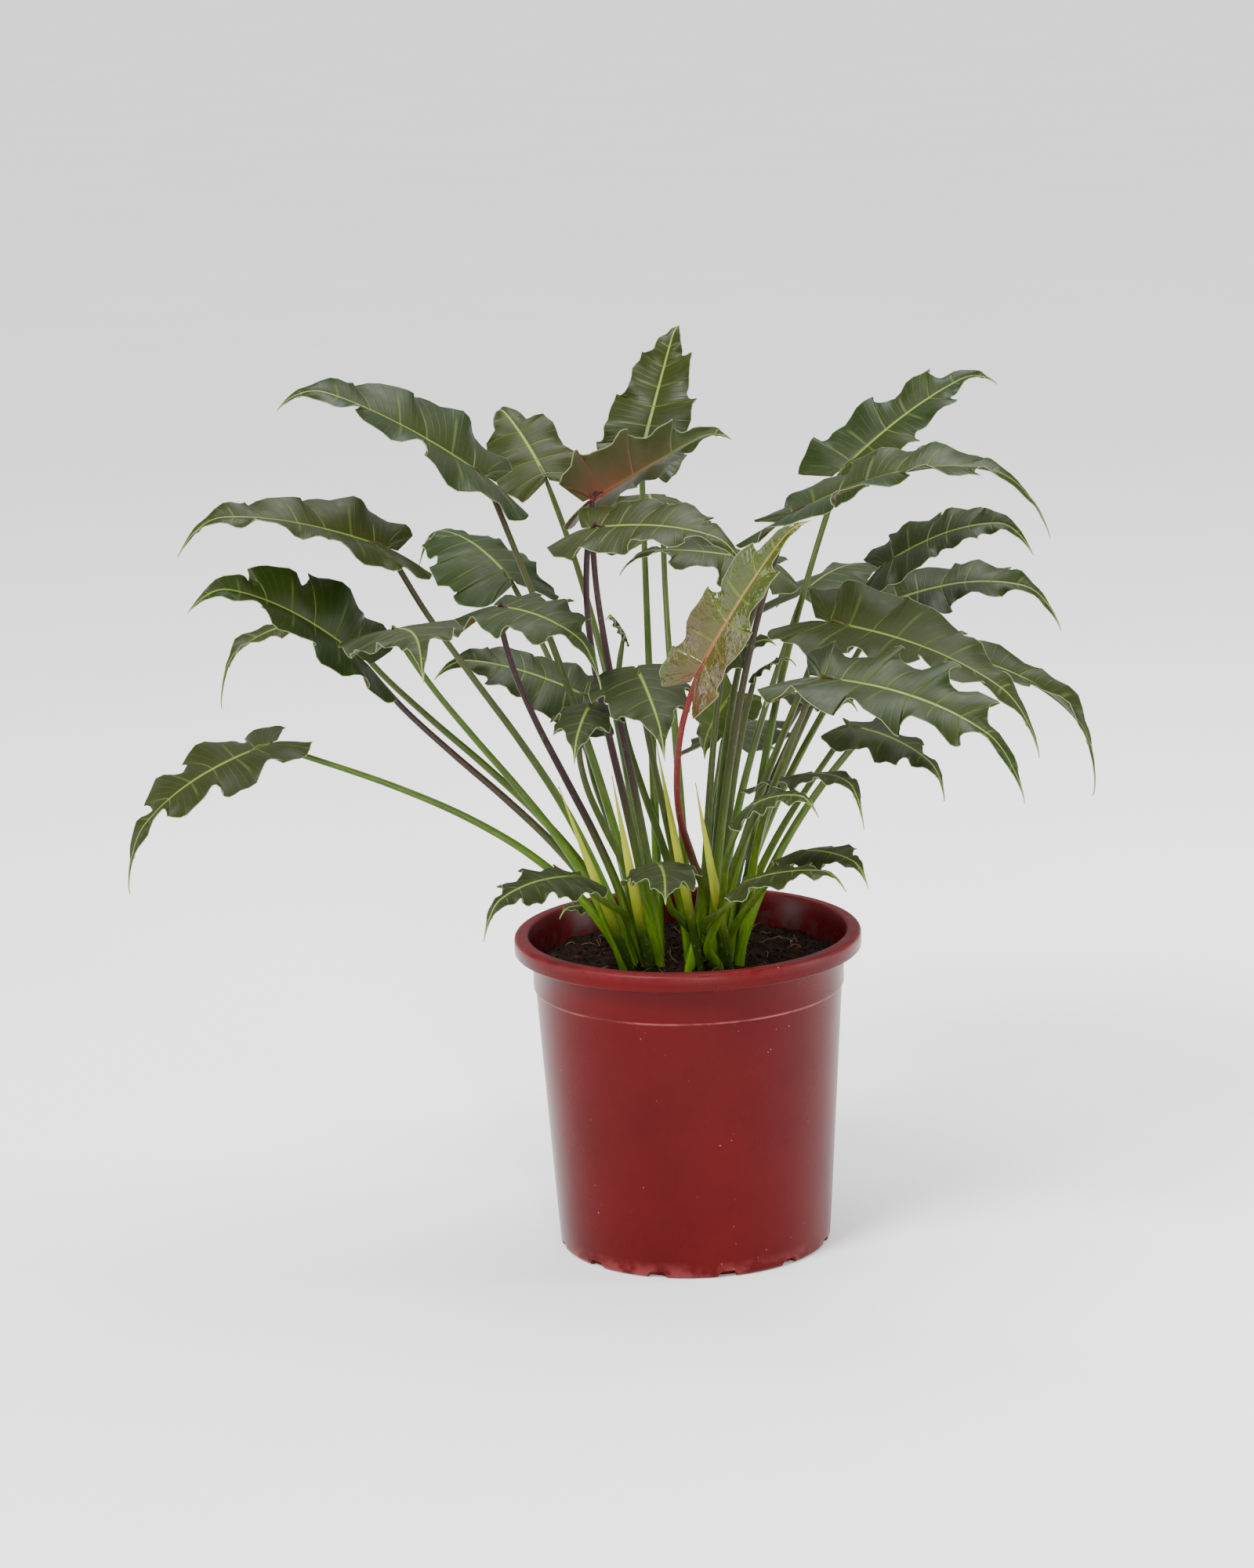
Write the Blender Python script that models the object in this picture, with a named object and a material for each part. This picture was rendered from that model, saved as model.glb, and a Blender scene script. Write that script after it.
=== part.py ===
"""A potted philodendron xanadu: lobed, waved leaves on long stalks, in a plain plastic nursery pot.

Metres, +Z up. The origin is the middle of the pot's flat base, on the floor.
The tables of the leaves and of the sheaths are in millimetres.
"""

import math
import random
from collections import namedtuple

import bmesh
import bpy
import numpy as np
from mathutils import Vector
from mathutils.bvhtree import BVHTree

MM = 0.001
MERGE = 1e-6
SMOOTH_ANGLE = math.radians(30)

# Pot
POT_HEIGHT = 0.222
RIM_RADIUS = 0.120
RIM_BAND = 0.012
RIM_ROLL = 0.0035
MOUTH_RADIUS = 0.110
COLLAR_RADIUS = 0.1075
COLLAR_DEPTH = 0.026
COLLAR_STEP = 0.0014
FOOT_RADIUS = 0.0945
FOOT_BEVEL = 0.003
WALL = 0.0022
FLOOR_THICKNESS = 0.003
CHANNEL_INNER = 0.058
CHANNEL_OUTER = 0.084
CHANNEL_HEIGHT = 0.005
CHANNEL_SLOPE = 0.002
POT_SIDES = 32
NOTCH_COUNT = 12
NOTCH_WIDTH = 0.014
NOTCH_HEIGHT = 0.006
NOTCH_TAPER = 0.72
NOTCH_INNER_HEIGHT = 0.0018
NOTCH_PHASE = math.radians(-17)
DRAIN_COUNT = 6
DRAIN_RADIUS = 0.005
DRAIN_SIDES = 12
CUT_PAST = 0.002

# Soil and crowns
GAP = 0.0003
SOIL_LEVEL = 0.200
SOIL_RADIUS = 0.1025
SOIL_CROWN = 0.001
SOIL_BUMP = 0.0022
SOIL_SEED = 11
SOIL_SIDES = 20
SOIL_RINGS = (0.96, 0.78, 0.56, 0.28)
WELL_DEPTH = 0.016
WELL_SIDES = 20
CROWN_HEIGHT = 0.004
CROWN_CLEAR = 0.0034
CROWN_INSET = 0.0008
STEM_PITCH = 0.0098
ROW_STAGGER = 0.25
WELL_SQUARENESS = 5
WELL_EASE = 1.02

# Each crown's middle, its columns along X and its rows along Y
Crown = namedtuple("Crown", "name middle columns rows")
CROWNS = (
    Crown("crown_left", (-0.0320, 0.002), 3, 7),
    Crown("crown_right", (0.0180, -0.002), 4, 7),
)

# Leaves
BLADE_THICKNESS = 0.0009
STALK_BASE_RADIUS = 0.0038
STALK_TOP_RADIUS = 0.0023
STALK_SIDES = 5
STALK_POINTS = 8
COLLAR_RISE = 0.003
SLOT_PULL = (0.22, 0.36)
RELAX_ROUNDS = 60
RELAX_SPREAD = 0.35
RELAX_END = 2e-5
STALK_RUN = 0.10
STALK_CLEAR = 0.0012
BLADE_CLEAR = 0.0022
STALK_LIFT = 0.36
STALK_ARRIVAL = 0.30
STALK_OUTWARD = 0.45
STALK_UPWARD = 0.6
RIB_HEIGHT = 0.0024
RIB_START = 0.1
RIB_TAPER = 1.5
LOBE_STEPS = (0.0, 0.35, 0.7)
SMALL_LOBE_STEPS = (0.0, 0.7)
LOBE_PEAK = 0.7
LOBE_FORWARD = 0.035
LOBE_DEPTH = (0.24, 0.34)
BASE_LOBES = 0.45
TIP_FADE = 0.22
ROOT_ENTIRE = 0.14
ROOT_FADE = 0.20
ARCH_POWER = 0.6
ARCH_SCALE = 0.347
SMALL_LOBES = 4
TIP_STEP = 0.45
VEIN_STEPS = (0.0, 0.55, 1.0)
FAN_END = 0.27
FAN_EASE = 1.15
MIDRIB_SLACK = 1.06
HOOK_START = 0.80
HOOK_SHARE = 1.1
HOOK_MOST = 16
HOOK_ALLOWED = 0.7
SIDE_DROOP = 0.6
SWELL_SHARE = 0.6
SWELL_CYCLES = 1.7
FIRST_SEED = 100

# The outline of half a blade without its lobes: along the midrib over its length, out over the half width
OUTLINE = (
    (-0.060, 0.05),
    (-0.13, 0.42),
    (-0.17, 0.72),
    (-0.08, 0.95),
    (0.10, 1.02),
    (0.28, 0.96),
    (0.45, 0.84),
    (0.60, 0.66),
    (0.74, 0.40),
    (0.86, 0.15),
    (1.00, 0.0),
)

# One row for each leaf: where the stalk meets the blade, the blade's tip, the way its upper face looks,
# half width over length, rise of the midrib's middle, how far the sides fold up, lobes a side,
# and the stalk's lean from upright where it arrives, in degrees, positive where it comes from the right.
Leaf = namedtuple("Leaf", "name attach tip face width arch fold lobes lean")
LEAVES = (
    Leaf("left_high", (-130, 40, 535), (-267, 0, 595), (0, -0.35, 1), 0.31, 14, 16, 5, 20),
    Leaf("left_high_rear", (-93, 170, 514), (-130, 235, 549), (0.1, -0.6, 0.8), 0.36, 8, 0, 4, 20),
    Leaf("left_mid", (-196, -10, 496), (-332, -60, 508), (0, -0.4, 1), 0.27, 16, 16, 5, 25),
    Leaf("left_broad", (-215, -30, 424), (-326, -80, 473), (-0.1, -0.5, 0.8), 0.31, 14, 22, 5, 32),
    Leaf("left_drooping", (-239, 60, 437), (-318, 40, 383), (-0.3, -0.3, 0.9), 0.16, 16, 10, 3, 30),
    Leaf("left_low", (-282, -20, 365), (-375, -70, 281), (-0.5, -0.4, 0.75), 0.25, 18, 4, 5, 70),
    Leaf("left_front", (-190, -70, 452), (-165, -180, 441), (0, -0.4, 0.9), 0.33, 10, 0, 5, 26),
    Leaf("mid_left_front", (-122, -30, 458), (-53, -100, 418), (0.2, -0.5, 0.85), 0.33, 14, 4, 5, 5),
    Leaf("mid_left_rear", (-61, 60, 373), (-171, 50, 395), (0, -0.4, 0.9), 0.30, 10, 0, 5, -25),
    Leaf("mid_small", (-61, -75, 398), (-71, -140, 374), (-0.1, -0.7, 0.7), 0.34, 6, -6, 4, -30),
    Leaf("mid_front", (-29, -75, 422), (-12, -150, 378), (0.1, -0.7, 0.7), 0.38, 8, -8, 4, 5),
    Leaf("crown_tall", (-23, 85, 541), (6, 150, 622), (-0.25, -0.85, 0.4), 0.29, 6, 14, 5, 0),
    Leaf("crown_folded", (-57, 0, 524), (39, 30, 560), (-0.2, 0.75, 0.6), 0.33, 8, 30, 5, -3),
    Leaf("young", (11, -145, 432), (86, -185, 540), (-0.5, -0.8, 0.25), 0.17, 8, 20, 5, -22),
    Leaf("crown_front", (-58, -50, 513), (46, -100, 490), (0.1, -0.4, 0.9), 0.31, 12, 10, 5, -10),
    Leaf("crown_rear", (65, 62, 466), (-40, 50, 465), (0, -0.3, 0.95), 0.28, 10, -5, 5, -25),
    Leaf("right_high", (116, 100, 523), (227, 130, 579), (-0.3, -0.5, 0.8), 0.27, 10, 14, 5, -20),
    Leaf("right_long", (77, 0, 509), (249, -40, 501), (0, -0.15, 1), 0.23, 34, 14, 6, -22),
    Leaf("right_third", (143, 50, 465), (243, 20, 478), (0, -0.4, 0.95), 0.30, 14, 10, 5, -30),
    Leaf("right_rear", (146, 110, 426), (267, 90, 412), (0, -0.45, 0.9), 0.26, 16, 6, 5, -30),
    Leaf("right_front", (99, -50, 445), (234, -120, 369), (0.3, -0.5, 0.8), 0.26, 20, 14, 6, -20),
    Leaf("right_front_low", (90, -160, 430), (215, -240, 367), (0.3, -0.5, 0.8), 0.27, 20, 12, 6, -25),
    Leaf("right_under", (113, -60, 376), (173, -90, 332), (0.3, -0.3, 0.9), 0.34, 10, -6, 4, -35),
    Leaf("right_far", (187, 20, 406), (280, 0, 314), (0.5, -0.3, 0.8), 0.16, 22, 25, 3, -55),
    Leaf("centre_small", (30, 24, 407), (66, 4, 420), (0, -0.5, 0.85), 0.36, 4, -4, 3, -10),
    Leaf("centre_tiny", (51, 20, 397), (79, 10, 404), (0, -0.1, 1), 0.34, 4, -4, 3, -15),
    Leaf("centre_dark", (86, 30, 378), (57, -12, 381), (0, -0.4, 0.9), 0.36, 4, -4, 3, -35),
    Leaf("centre_hanging", (94, 70, 373), (122, 52, 362), (0.1, -0.5, 0.9), 0.34, 4, 0, 3, -30),
    Leaf("back_lit", (36, 90, 368), (16, 116, 318), (0, -0.85, 0.4), 0.40, 6, -6, 4, -5),
    Leaf("low_right_bent", (61, -75, 343), (117, -150, 330), (0.3, -0.3, 0.9), 0.24, 14, -4, 4, -30),
    Leaf("low_right_small", (41, -135, 339), (87, -175, 343), (0.1, -0.5, 0.85), 0.28, 8, -4, 4, -25),
    Leaf("low_right_broad", (77, -75, 294), (120, -125, 282), (0.3, -0.5, 0.8), 0.34, 8, -4, 4, -45),
    Leaf("low_right", (40, -125, 287), (104, -160, 289), (0.05, -0.3, 0.95), 0.26, 8, -4, 4, -30),
    Leaf("low_left", (-73, -80, 282), (-135, -130, 255), (-0.3, -0.5, 0.8), 0.28, 12, -4, 5, 35),
    Leaf("low_front", (-18, -90, 292), (-14, -150, 280), (0, -0.6, 0.8), 0.42, 4, -6, 4, 0),
    Leaf("low_tiny", (-63, 20, 234), (-88, 2, 232), (-0.2, -0.4, 0.9), 0.34, 4, -4, 3, 35),
    Leaf("shoot_small", (-38, 60, 418), (-51, 45, 433), (-0.2, -0.5, 0.8), 0.36, 3, -4, 3, -20),
    Leaf("back_left", (-120, 170, 440), (-190, 260, 440), (-0.2, 0.3, 0.9), 0.36, 16, -6, 5, 25),
    Leaf("back_middle", (-10, 190, 470), (-20, 300, 450), (0, 0.4, 0.9), 0.38, 18, -6, 5, 0),
    Leaf("back_right", (90, 190, 420), (164, 278, 398), (0.2, 0.4, 0.9), 0.36, 16, -6, 5, -20),
    Leaf("back_low", (30, 170, 320), (64, 262, 284), (0.1, 0.5, 0.85), 0.36, 14, -6, 5, -10),
)

# Sheaths among the stalks: the crown and the slot that they stand in, the tip, and the half width
Sheath = namedtuple("Sheath", "name crown slot top width")
SHEATHS = (
    Sheath("sheath_left", 0, 1, (-84, -62, 340), 4.5),
    Sheath("sheath_mid_left", 0, 2, (-48, -60, 346), 5),
    Sheath("sheath_mid_right", 1, 1, (-18, -66, 372), 4.5),
    Sheath("sheath_right", 1, 3, (8, -62, 340), 5),
)
SHEATH_STEPS = 6
SHEATH_LIFT = 0.0014
SHEATH_THICKNESS = 0.0012
SHEATH_FOLD = 0.5
SHEATH_BOW = 0.006
SHEATH_FOOT = 0.6
SHEATH_TAPER = 2.2


def clear_scene():
    for thing in list(bpy.data.objects):
        bpy.data.objects.remove(thing, do_unlink=True)


def material(name, colour, roughness):
    made = bpy.data.materials.new(name)
    made.use_nodes = True
    shader = made.node_tree.nodes["Principled BSDF"]
    shader.inputs["Base Color"].default_value = (*colour, 1.0)
    shader.inputs["Roughness"].default_value = roughness
    shader.inputs["Metallic"].default_value = 0.0
    return made


def helper(name, mesh):
    thing = bpy.data.objects.new(name, mesh)
    bpy.context.collection.objects.link(thing)
    return thing


def add_object(name, mesh, finish):
    thing = helper(name, mesh)
    mesh.materials.clear()
    mesh.materials.append(finish)
    return thing


def mesh_from(name, points, faces):
    """A closed mesh with coincident points merged and its faces turned outwards."""
    mesh = bpy.data.meshes.new(name)
    mesh.from_pydata([tuple(p) for p in points], [], faces)
    shape = bmesh.new()
    shape.from_mesh(mesh)
    bmesh.ops.remove_doubles(shape, verts=shape.verts, dist=MERGE)
    bmesh.ops.dissolve_degenerate(shape, edges=shape.edges, dist=MERGE)
    bmesh.ops.recalc_face_normals(shape, faces=shape.faces)
    if shape.calc_volume(signed=True) < 0:
        bmesh.ops.reverse_faces(shape, faces=shape.faces)
    shape.to_mesh(mesh)
    shape.free()
    return mesh


def boolean(thing, others, operation, solver="EXACT"):
    """Join or cut with a collection of helpers, apply it, and remove the helpers."""
    helpers = bpy.data.collections.new(thing.name + "_helpers")
    bpy.context.scene.collection.children.link(helpers)
    for other in others:
        for home in list(other.users_collection):
            home.objects.unlink(other)
        helpers.objects.link(other)
    step = thing.modifiers.new("join", "BOOLEAN")
    step.operation = operation
    step.solver = solver
    step.operand_type = "COLLECTION"
    step.collection = helpers
    if solver == "EXACT":
        step.use_self = False
    bpy.context.view_layer.update()
    evaluated = thing.evaluated_get(bpy.context.evaluated_depsgraph_get())
    result = bpy.data.meshes.new_from_object(evaluated)
    thing.modifiers.clear()
    thing.data = result
    for other in others:
        bpy.data.objects.remove(other, do_unlink=True)
    bpy.data.collections.remove(helpers)


def smooth(thing):
    thing.data.shade_smooth()
    thing.data.set_sharp_from_angle(angle=SMOOTH_ANGLE)


def turned(name, profile, sides, finish):
    """A ring turned about Z from a closed outline of (radius, height) points; a radius of 0 is a pole."""
    points = []
    faces = []
    rows = []
    for radius, height in profile:
        if radius == 0:
            rows.append([len(points)] * sides)
            points.append((0, 0, height))
            continue
        rows.append(list(range(len(points), len(points) + sides)))
        for i in range(sides):
            angle = 2 * math.pi * i / sides
            points.append((radius * math.cos(angle), radius * math.sin(angle), height))
    for lower, upper in zip(rows, rows[1:]):
        for i in range(sides):
            j = (i + 1) % sides
            face = []
            for corner in (lower[i], lower[j], upper[j], upper[i]):
                if corner not in face:
                    face.append(corner)
            faces.append(face)
    return add_object(name, mesh_from(name, points, faces), finish)


def pot_outside(height):
    """The body's outer radius under the collar's step, at a height."""
    top = POT_HEIGHT - RIM_BAND - COLLAR_DEPTH
    share = height / top
    return FOOT_RADIUS + (COLLAR_RADIUS - COLLAR_STEP - FOOT_RADIUS) * share


def build_pot(finish):
    band_foot = POT_HEIGHT - RIM_BAND
    step = band_foot - COLLAR_DEPTH
    inner_floor = CHANNEL_HEIGHT + FLOOR_THICKNESS
    profile = [
        (0, 0),
        (CHANNEL_INNER, 0),
        (CHANNEL_INNER + CHANNEL_SLOPE, CHANNEL_HEIGHT),
        (CHANNEL_OUTER - CHANNEL_SLOPE, CHANNEL_HEIGHT),
        (CHANNEL_OUTER, 0),
        (FOOT_RADIUS - FOOT_BEVEL, 0),
        (FOOT_RADIUS, FOOT_BEVEL),
        (pot_outside(step - 0.001), step - 0.001),
        (COLLAR_RADIUS - 0.0004, step + 0.001),
        (COLLAR_RADIUS, band_foot),
        (RIM_RADIUS - 0.002, band_foot - 0.001),
        (RIM_RADIUS, band_foot + 0.001),
        (RIM_RADIUS, POT_HEIGHT - RIM_ROLL),
        (RIM_RADIUS - 0.001, POT_HEIGHT - 0.001),
        (RIM_RADIUS - RIM_ROLL, POT_HEIGHT),
        (MOUTH_RADIUS + 0.001, POT_HEIGHT - 0.0006),
        (MOUTH_RADIUS, POT_HEIGHT - 0.003),
        (COLLAR_RADIUS - WALL, band_foot - 0.002),
        (pot_outside(step) - WALL, step),
        (FOOT_RADIUS - WALL - 0.0005, inner_floor),
        (0, inner_floor),
    ]
    pot = turned("pot", profile, POT_SIDES, finish)
    cutters = []
    for i in range(NOTCH_COUNT):
        angle = NOTCH_PHASE + 2 * math.pi * i / NOTCH_COUNT - math.pi / 2
        cutters.append(notch_cutter(angle))
    for i in range(DRAIN_COUNT):
        angle = 2 * math.pi * (i + 0.25) / DRAIN_COUNT
        cutters.append(drain_cutter(angle))
    boolean(pot, cutters, "DIFFERENCE")
    smooth(pot)


def notch_cutter(angle):
    """A drain notch with sloping sides, cut up into the foot's outer edge only."""
    inner = CHANNEL_OUTER + 0.0035
    outer = FOOT_RADIUS + 2 * CUT_PAST
    points = []
    half = NOTCH_WIDTH / 2
    for radius, top in ((inner, NOTCH_INNER_HEIGHT), (outer, NOTCH_HEIGHT)):
        narrow = half * NOTCH_TAPER
        for side, height in ((-half, -CUT_PAST), (half, -CUT_PAST), (narrow, top), (-narrow, top)):
            x = radius * math.cos(angle) - side * math.sin(angle)
            y = radius * math.sin(angle) + side * math.cos(angle)
            points.append((x, y, height))
    faces = [(0, 1, 2, 3), (4, 5, 6, 7), (0, 1, 5, 4), (1, 2, 6, 5), (2, 3, 7, 6), (3, 0, 4, 7)]
    mesh = mesh_from("notch", points, faces)
    return helper("notch", mesh)


def drain_cutter(angle):
    shape = bmesh.new()
    depth = 2 * (FLOOR_THICKNESS + CHANNEL_HEIGHT + CUT_PAST)
    bmesh.ops.create_cone(shape, cap_ends=True, segments=DRAIN_SIDES, radius1=DRAIN_RADIUS,
                          radius2=DRAIN_RADIUS, depth=depth)
    middle = (CHANNEL_INNER + CHANNEL_OUTER) / 2
    bmesh.ops.translate(shape, verts=shape.verts,
                        vec=(middle * math.cos(angle), middle * math.sin(angle), CHANNEL_HEIGHT))
    mesh = bpy.data.meshes.new("drain")
    shape.to_mesh(mesh)
    shape.free()
    return helper("drain", mesh)


def crown_slots(crown):
    """Where stalks stand on a crown, in staggered rows."""
    slots = []
    for row in range(crown.rows):
        shift = ROW_STAGGER if row % 2 else -ROW_STAGGER
        for column in range(crown.columns):
            x = crown.middle[0] + (column - (crown.columns - 1) / 2 + shift) * STEM_PITCH
            y = crown.middle[1] + (row - (crown.rows - 1) / 2) * STEM_PITCH
            slots.append((x, y))
    return slots


def well_outline(crown, extra):
    """A rounded oblong round a crown's slots, grown by extra."""
    half_x = ((crown.columns - 1) / 2 + ROW_STAGGER) * STEM_PITCH + STALK_BASE_RADIUS + extra
    half_y = ((crown.rows - 1) / 2) * STEM_PITCH + STALK_BASE_RADIUS + extra
    points = []
    for i in range(WELL_SIDES):
        angle = 2 * math.pi * (i + 0.5) / WELL_SIDES
        c, s = math.cos(angle), math.sin(angle)
        reach = WELL_EASE * (abs(c) ** WELL_SQUARENESS + abs(s) ** WELL_SQUARENESS) ** (-1 / WELL_SQUARENESS)
        points.append((crown.middle[0] + half_x * c * reach, crown.middle[1] + half_y * s * reach))
    return points


def prism(name, outline, low, high):
    points = [(x, y, low) for x, y in outline] + [(x, y, high) for x, y in outline]
    count = len(outline)
    faces = [tuple(range(count)), tuple(range(count, 2 * count))]
    faces += [(i, (i + 1) % count, (i + 1) % count + count, i + count) for i in range(count)]
    return helper(name, mesh_from(name, points, faces))


def build_soil(finish):
    """The potting mix: it fills the pot, is lumpy on top, and has a plain well under each crown."""
    inner_floor = CHANNEL_HEIGHT + FLOOR_THICKNESS
    step = POT_HEIGHT - RIM_BAND - COLLAR_DEPTH
    draw = random.Random(SOIL_SEED)
    profile = [
        (0, inner_floor + GAP),
        (FOOT_RADIUS - WALL - 0.0005 - 2 * GAP, inner_floor + GAP),
        (pot_outside(step) - WALL - 2 * GAP, step),
        (SOIL_RADIUS, SOIL_LEVEL),
    ]
    for share in SOIL_RINGS:
        profile.append((SOIL_RADIUS * share, SOIL_LEVEL + SOIL_CROWN))
    profile.append((0, SOIL_LEVEL + SOIL_CROWN))
    soil = turned("soil", profile, SOIL_SIDES, finish)
    for point in soil.data.vertices:
        if point.co.z > SOIL_LEVEL + SOIL_CROWN / 2:
            point.co.z += draw.uniform(-SOIL_BUMP, SOIL_BUMP)
    cutters = [prism("well", well_outline(crown, CROWN_CLEAR), SOIL_LEVEL - WELL_DEPTH, POT_HEIGHT)
               for crown in CROWNS]
    boolean(soil, cutters, "DIFFERENCE")


def build_crowns(finish):
    """The short stems, low in their wells; the stalks stand on them."""
    low = SOIL_LEVEL - WELL_DEPTH + GAP
    for crown in CROWNS:
        made = prism(crown.name, well_outline(crown, CROWN_CLEAR - CROWN_INSET), low, low + CROWN_HEIGHT)
        made.data.materials.append(finish)


def smooth_through(values, share):
    """Catmull-Rom through a row of points, at a share of its length from 0 to 1."""
    last = len(values) - 1
    at = min(max(share, 0.0), 1.0) * last
    i = min(int(at), last - 1)
    t = at - i
    p1, p2 = values[i], values[i + 1]
    p0 = values[i - 1] if i > 0 else 2 * p1 - p2
    p3 = values[i + 2] if i + 2 <= last else 2 * p2 - p1
    return 0.5 * (2 * p1 + (p2 - p0) * t + (2 * p0 - 5 * p1 + 4 * p2 - p3) * t * t
                  + (3 * p1 - p0 - 3 * p2 + p3) * t ** 3)


def unit(vector):
    return vector / np.linalg.norm(vector)


def arch_share(share):
    """The arch's height along the midrib, 1 at its highest, with the tip drooping fast."""
    if share < 0:
        return share / ARCH_SCALE
    return share * max(0.0, 1 - share) ** ARCH_POWER / ARCH_SCALE


def lobe_tooth(phase):
    """A forward-pointing lobe: 0 in the notches, 1 at its tip, which lies nearer the next notch."""
    if phase < LOBE_PEAK:
        return math.sin(math.pi / 2 * phase / LOBE_PEAK)
    return math.cos(math.pi / 2 * (phase - LOBE_PEAK) / (1 - LOBE_PEAK))


class Blade:
    """A leaf's blade as a sheet: veins leave the midrib and end at the lobed, waved margin."""

    def __init__(self, leaf, seed):
        self.leaf = leaf
        self.attach = np.array(leaf.attach, float) * MM
        self.hook = np.array((0.0, 0.0, -min(leaf.arch, HOOK_MOST) * MM * HOOK_SHARE))
        self.tip = np.array(leaf.tip, float) * MM - self.hook * HOOK_ALLOWED
        chord = self.tip - self.attach
        self.length = np.linalg.norm(chord) * MIDRIB_SLACK
        self.along = unit(chord)
        face = np.array(leaf.face, float)
        self.normal = unit(face - self.along * (face @ self.along))
        self.side = np.cross(self.normal, self.along)
        self.outline = [np.array(p) for p in OUTLINE]
        draw = random.Random(seed)
        self.phase = (draw.uniform(0, 6.28), draw.uniform(0, 6.28))
        self.twist = math.radians(draw.uniform(-10, 10))
        self.wave = self.length * draw.uniform(0.018, 0.034)
        self.bow = self.length * draw.uniform(-0.05, 0.05)
        depth = draw.uniform(LOBE_DEPTH[0], LOBE_DEPTH[1])
        self.depths = {}
        for side in (-1, 1):
            for lobe in range(leaf.lobes + 1):
                share = lobe / leaf.lobes
                uneven = draw.uniform(0.6, 1.4)
                self.depths[side, lobe] = depth * uneven * (BASE_LOBES + (1 - BASE_LOBES) * share)

    def midrib(self, share):
        """A point of the midrib: it rises along the leaf's arch, and its tip turns down."""
        chord = self.tip - self.attach
        rise = self.leaf.arch * MM * arch_share(share)
        sway = self.bow * math.sin(math.pi * share)
        bend = max(0.0, (share - HOOK_START) / (1 - HOOK_START)) ** 2
        return self.attach + chord * share + self.normal * rise + self.side * sway + self.hook * bend

    def frame(self, share):
        ahead = unit(self.midrib(share + 0.01) - self.midrib(share - 0.01))
        turn = self.twist * share
        up = self.normal * math.cos(turn) + self.side * math.sin(turn)
        up = unit(up - ahead * (up @ ahead))
        return up, np.cross(up, ahead)

    def point(self, u, v, side):
        """A point of the sheet: u runs from the stalk's sinus to the tip, v from midrib to margin."""
        root = max(0.0, (u - FAN_END) / (1 - FAN_END)) ** FAN_EASE
        along, out = smooth_through(self.outline, u)
        out *= self.leaf.width * self.length
        cycle = u * self.leaf.lobes
        tooth = lobe_tooth(cycle % 1.0)
        fade = min(1.0, (1 - u) / TIP_FADE) * min(1.0, max(0.0, u - ROOT_ENTIRE) / ROOT_FADE)
        pull = 1 - self.depths[side, int(cycle + 0.5)] * (1 - tooth) * fade
        along += LOBE_FORWARD * (tooth - 0.5) * fade
        place = root + (along - root) * pull * v
        out = out * pull * v
        along_axis = self.midrib(place)
        up, across = self.frame(place)
        fold = math.radians(self.leaf.fold)
        droop = -SIDE_DROOP * out * out / self.length
        ruffle = self.wave * v * v * fade * math.sin(2 * math.pi * cycle + self.phase[side > 0])
        swell = self.wave * SWELL_SHARE * v * fade
        swell *= math.sin(2 * math.pi * u * SWELL_CYCLES + self.phase[side < 0])
        return (along_axis + across * side * out * math.cos(fold)
                + up * (out * math.sin(fold) + droop + ruffle + swell))

    def columns(self):
        lobes = self.leaf.lobes
        small = lobes <= SMALL_LOBES
        steps = SMALL_LOBE_STEPS if small else LOBE_STEPS
        body = [(lobe + step) / lobes for lobe in range(lobes - 1) for step in steps]
        return body + [1 - lobe / lobes for lobe in ((1, 0) if small else (1, TIP_STEP, 0))]

    def sheet(self):
        """The sheet's points, its triangles, and how much of the rib stands below each point."""
        points = []
        ribs = []
        index = {}
        triangles = []

        def corner(u, v, side):
            spot = self.point(u, v, side)
            key = tuple(np.round(spot, 6))
            if key not in index:
                index[key] = len(points)
                points.append(spot)
                root = max(0.0, (u - FAN_END) / (1 - FAN_END))
                rib = RIB_HEIGHT * (1 - root) ** RIB_TAPER * min(1.0, root / RIB_START)
                ribs.append(rib if v == 0 else 0.0)
            return index[key]

        columns = self.columns()
        for side in (-1, 1):
            for u0, u1 in zip(columns, columns[1:]):
                for v0, v1 in zip(VEIN_STEPS, VEIN_STEPS[1:]):
                    a, b = corner(u0, v0, side), corner(u1, v0, side)
                    c, d = corner(u1, v1, side), corner(u0, v1, side)
                    for face in ((a, b, c), (a, c, d)):
                        if len(set(face)) == 3:
                            triangles.append(face if side > 0 else face[::-1])
        return np.array(points), triangles, np.array(ribs)


def shell(points, triangles, top, bottom):
    """Close a sheet into a thin shell, with the same triangles on both faces."""
    normals = np.zeros_like(points)
    for a, b, c in triangles:
        facing = np.cross(points[b] - points[a], points[c] - points[a])
        for i in (a, b, c):
            normals[i] += facing
    normals /= np.linalg.norm(normals, axis=1)[:, None]
    count = len(points)
    upper = points + normals * top
    lower = points - normals * np.reshape(bottom, (-1, 1))
    edges = {}
    for a, b, c in triangles:
        for edge in ((a, b), (b, c), (c, a)):
            edges[edge] = True
    faces = list(triangles) + [(a + count, c + count, b + count) for a, b, c in triangles]
    for a, b in edges:
        if (b, a) not in edges:
            faces.append((b, a, a + count))
            faces.append((b, a + count, b + count))
    return np.concatenate([upper, lower]), faces


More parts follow.
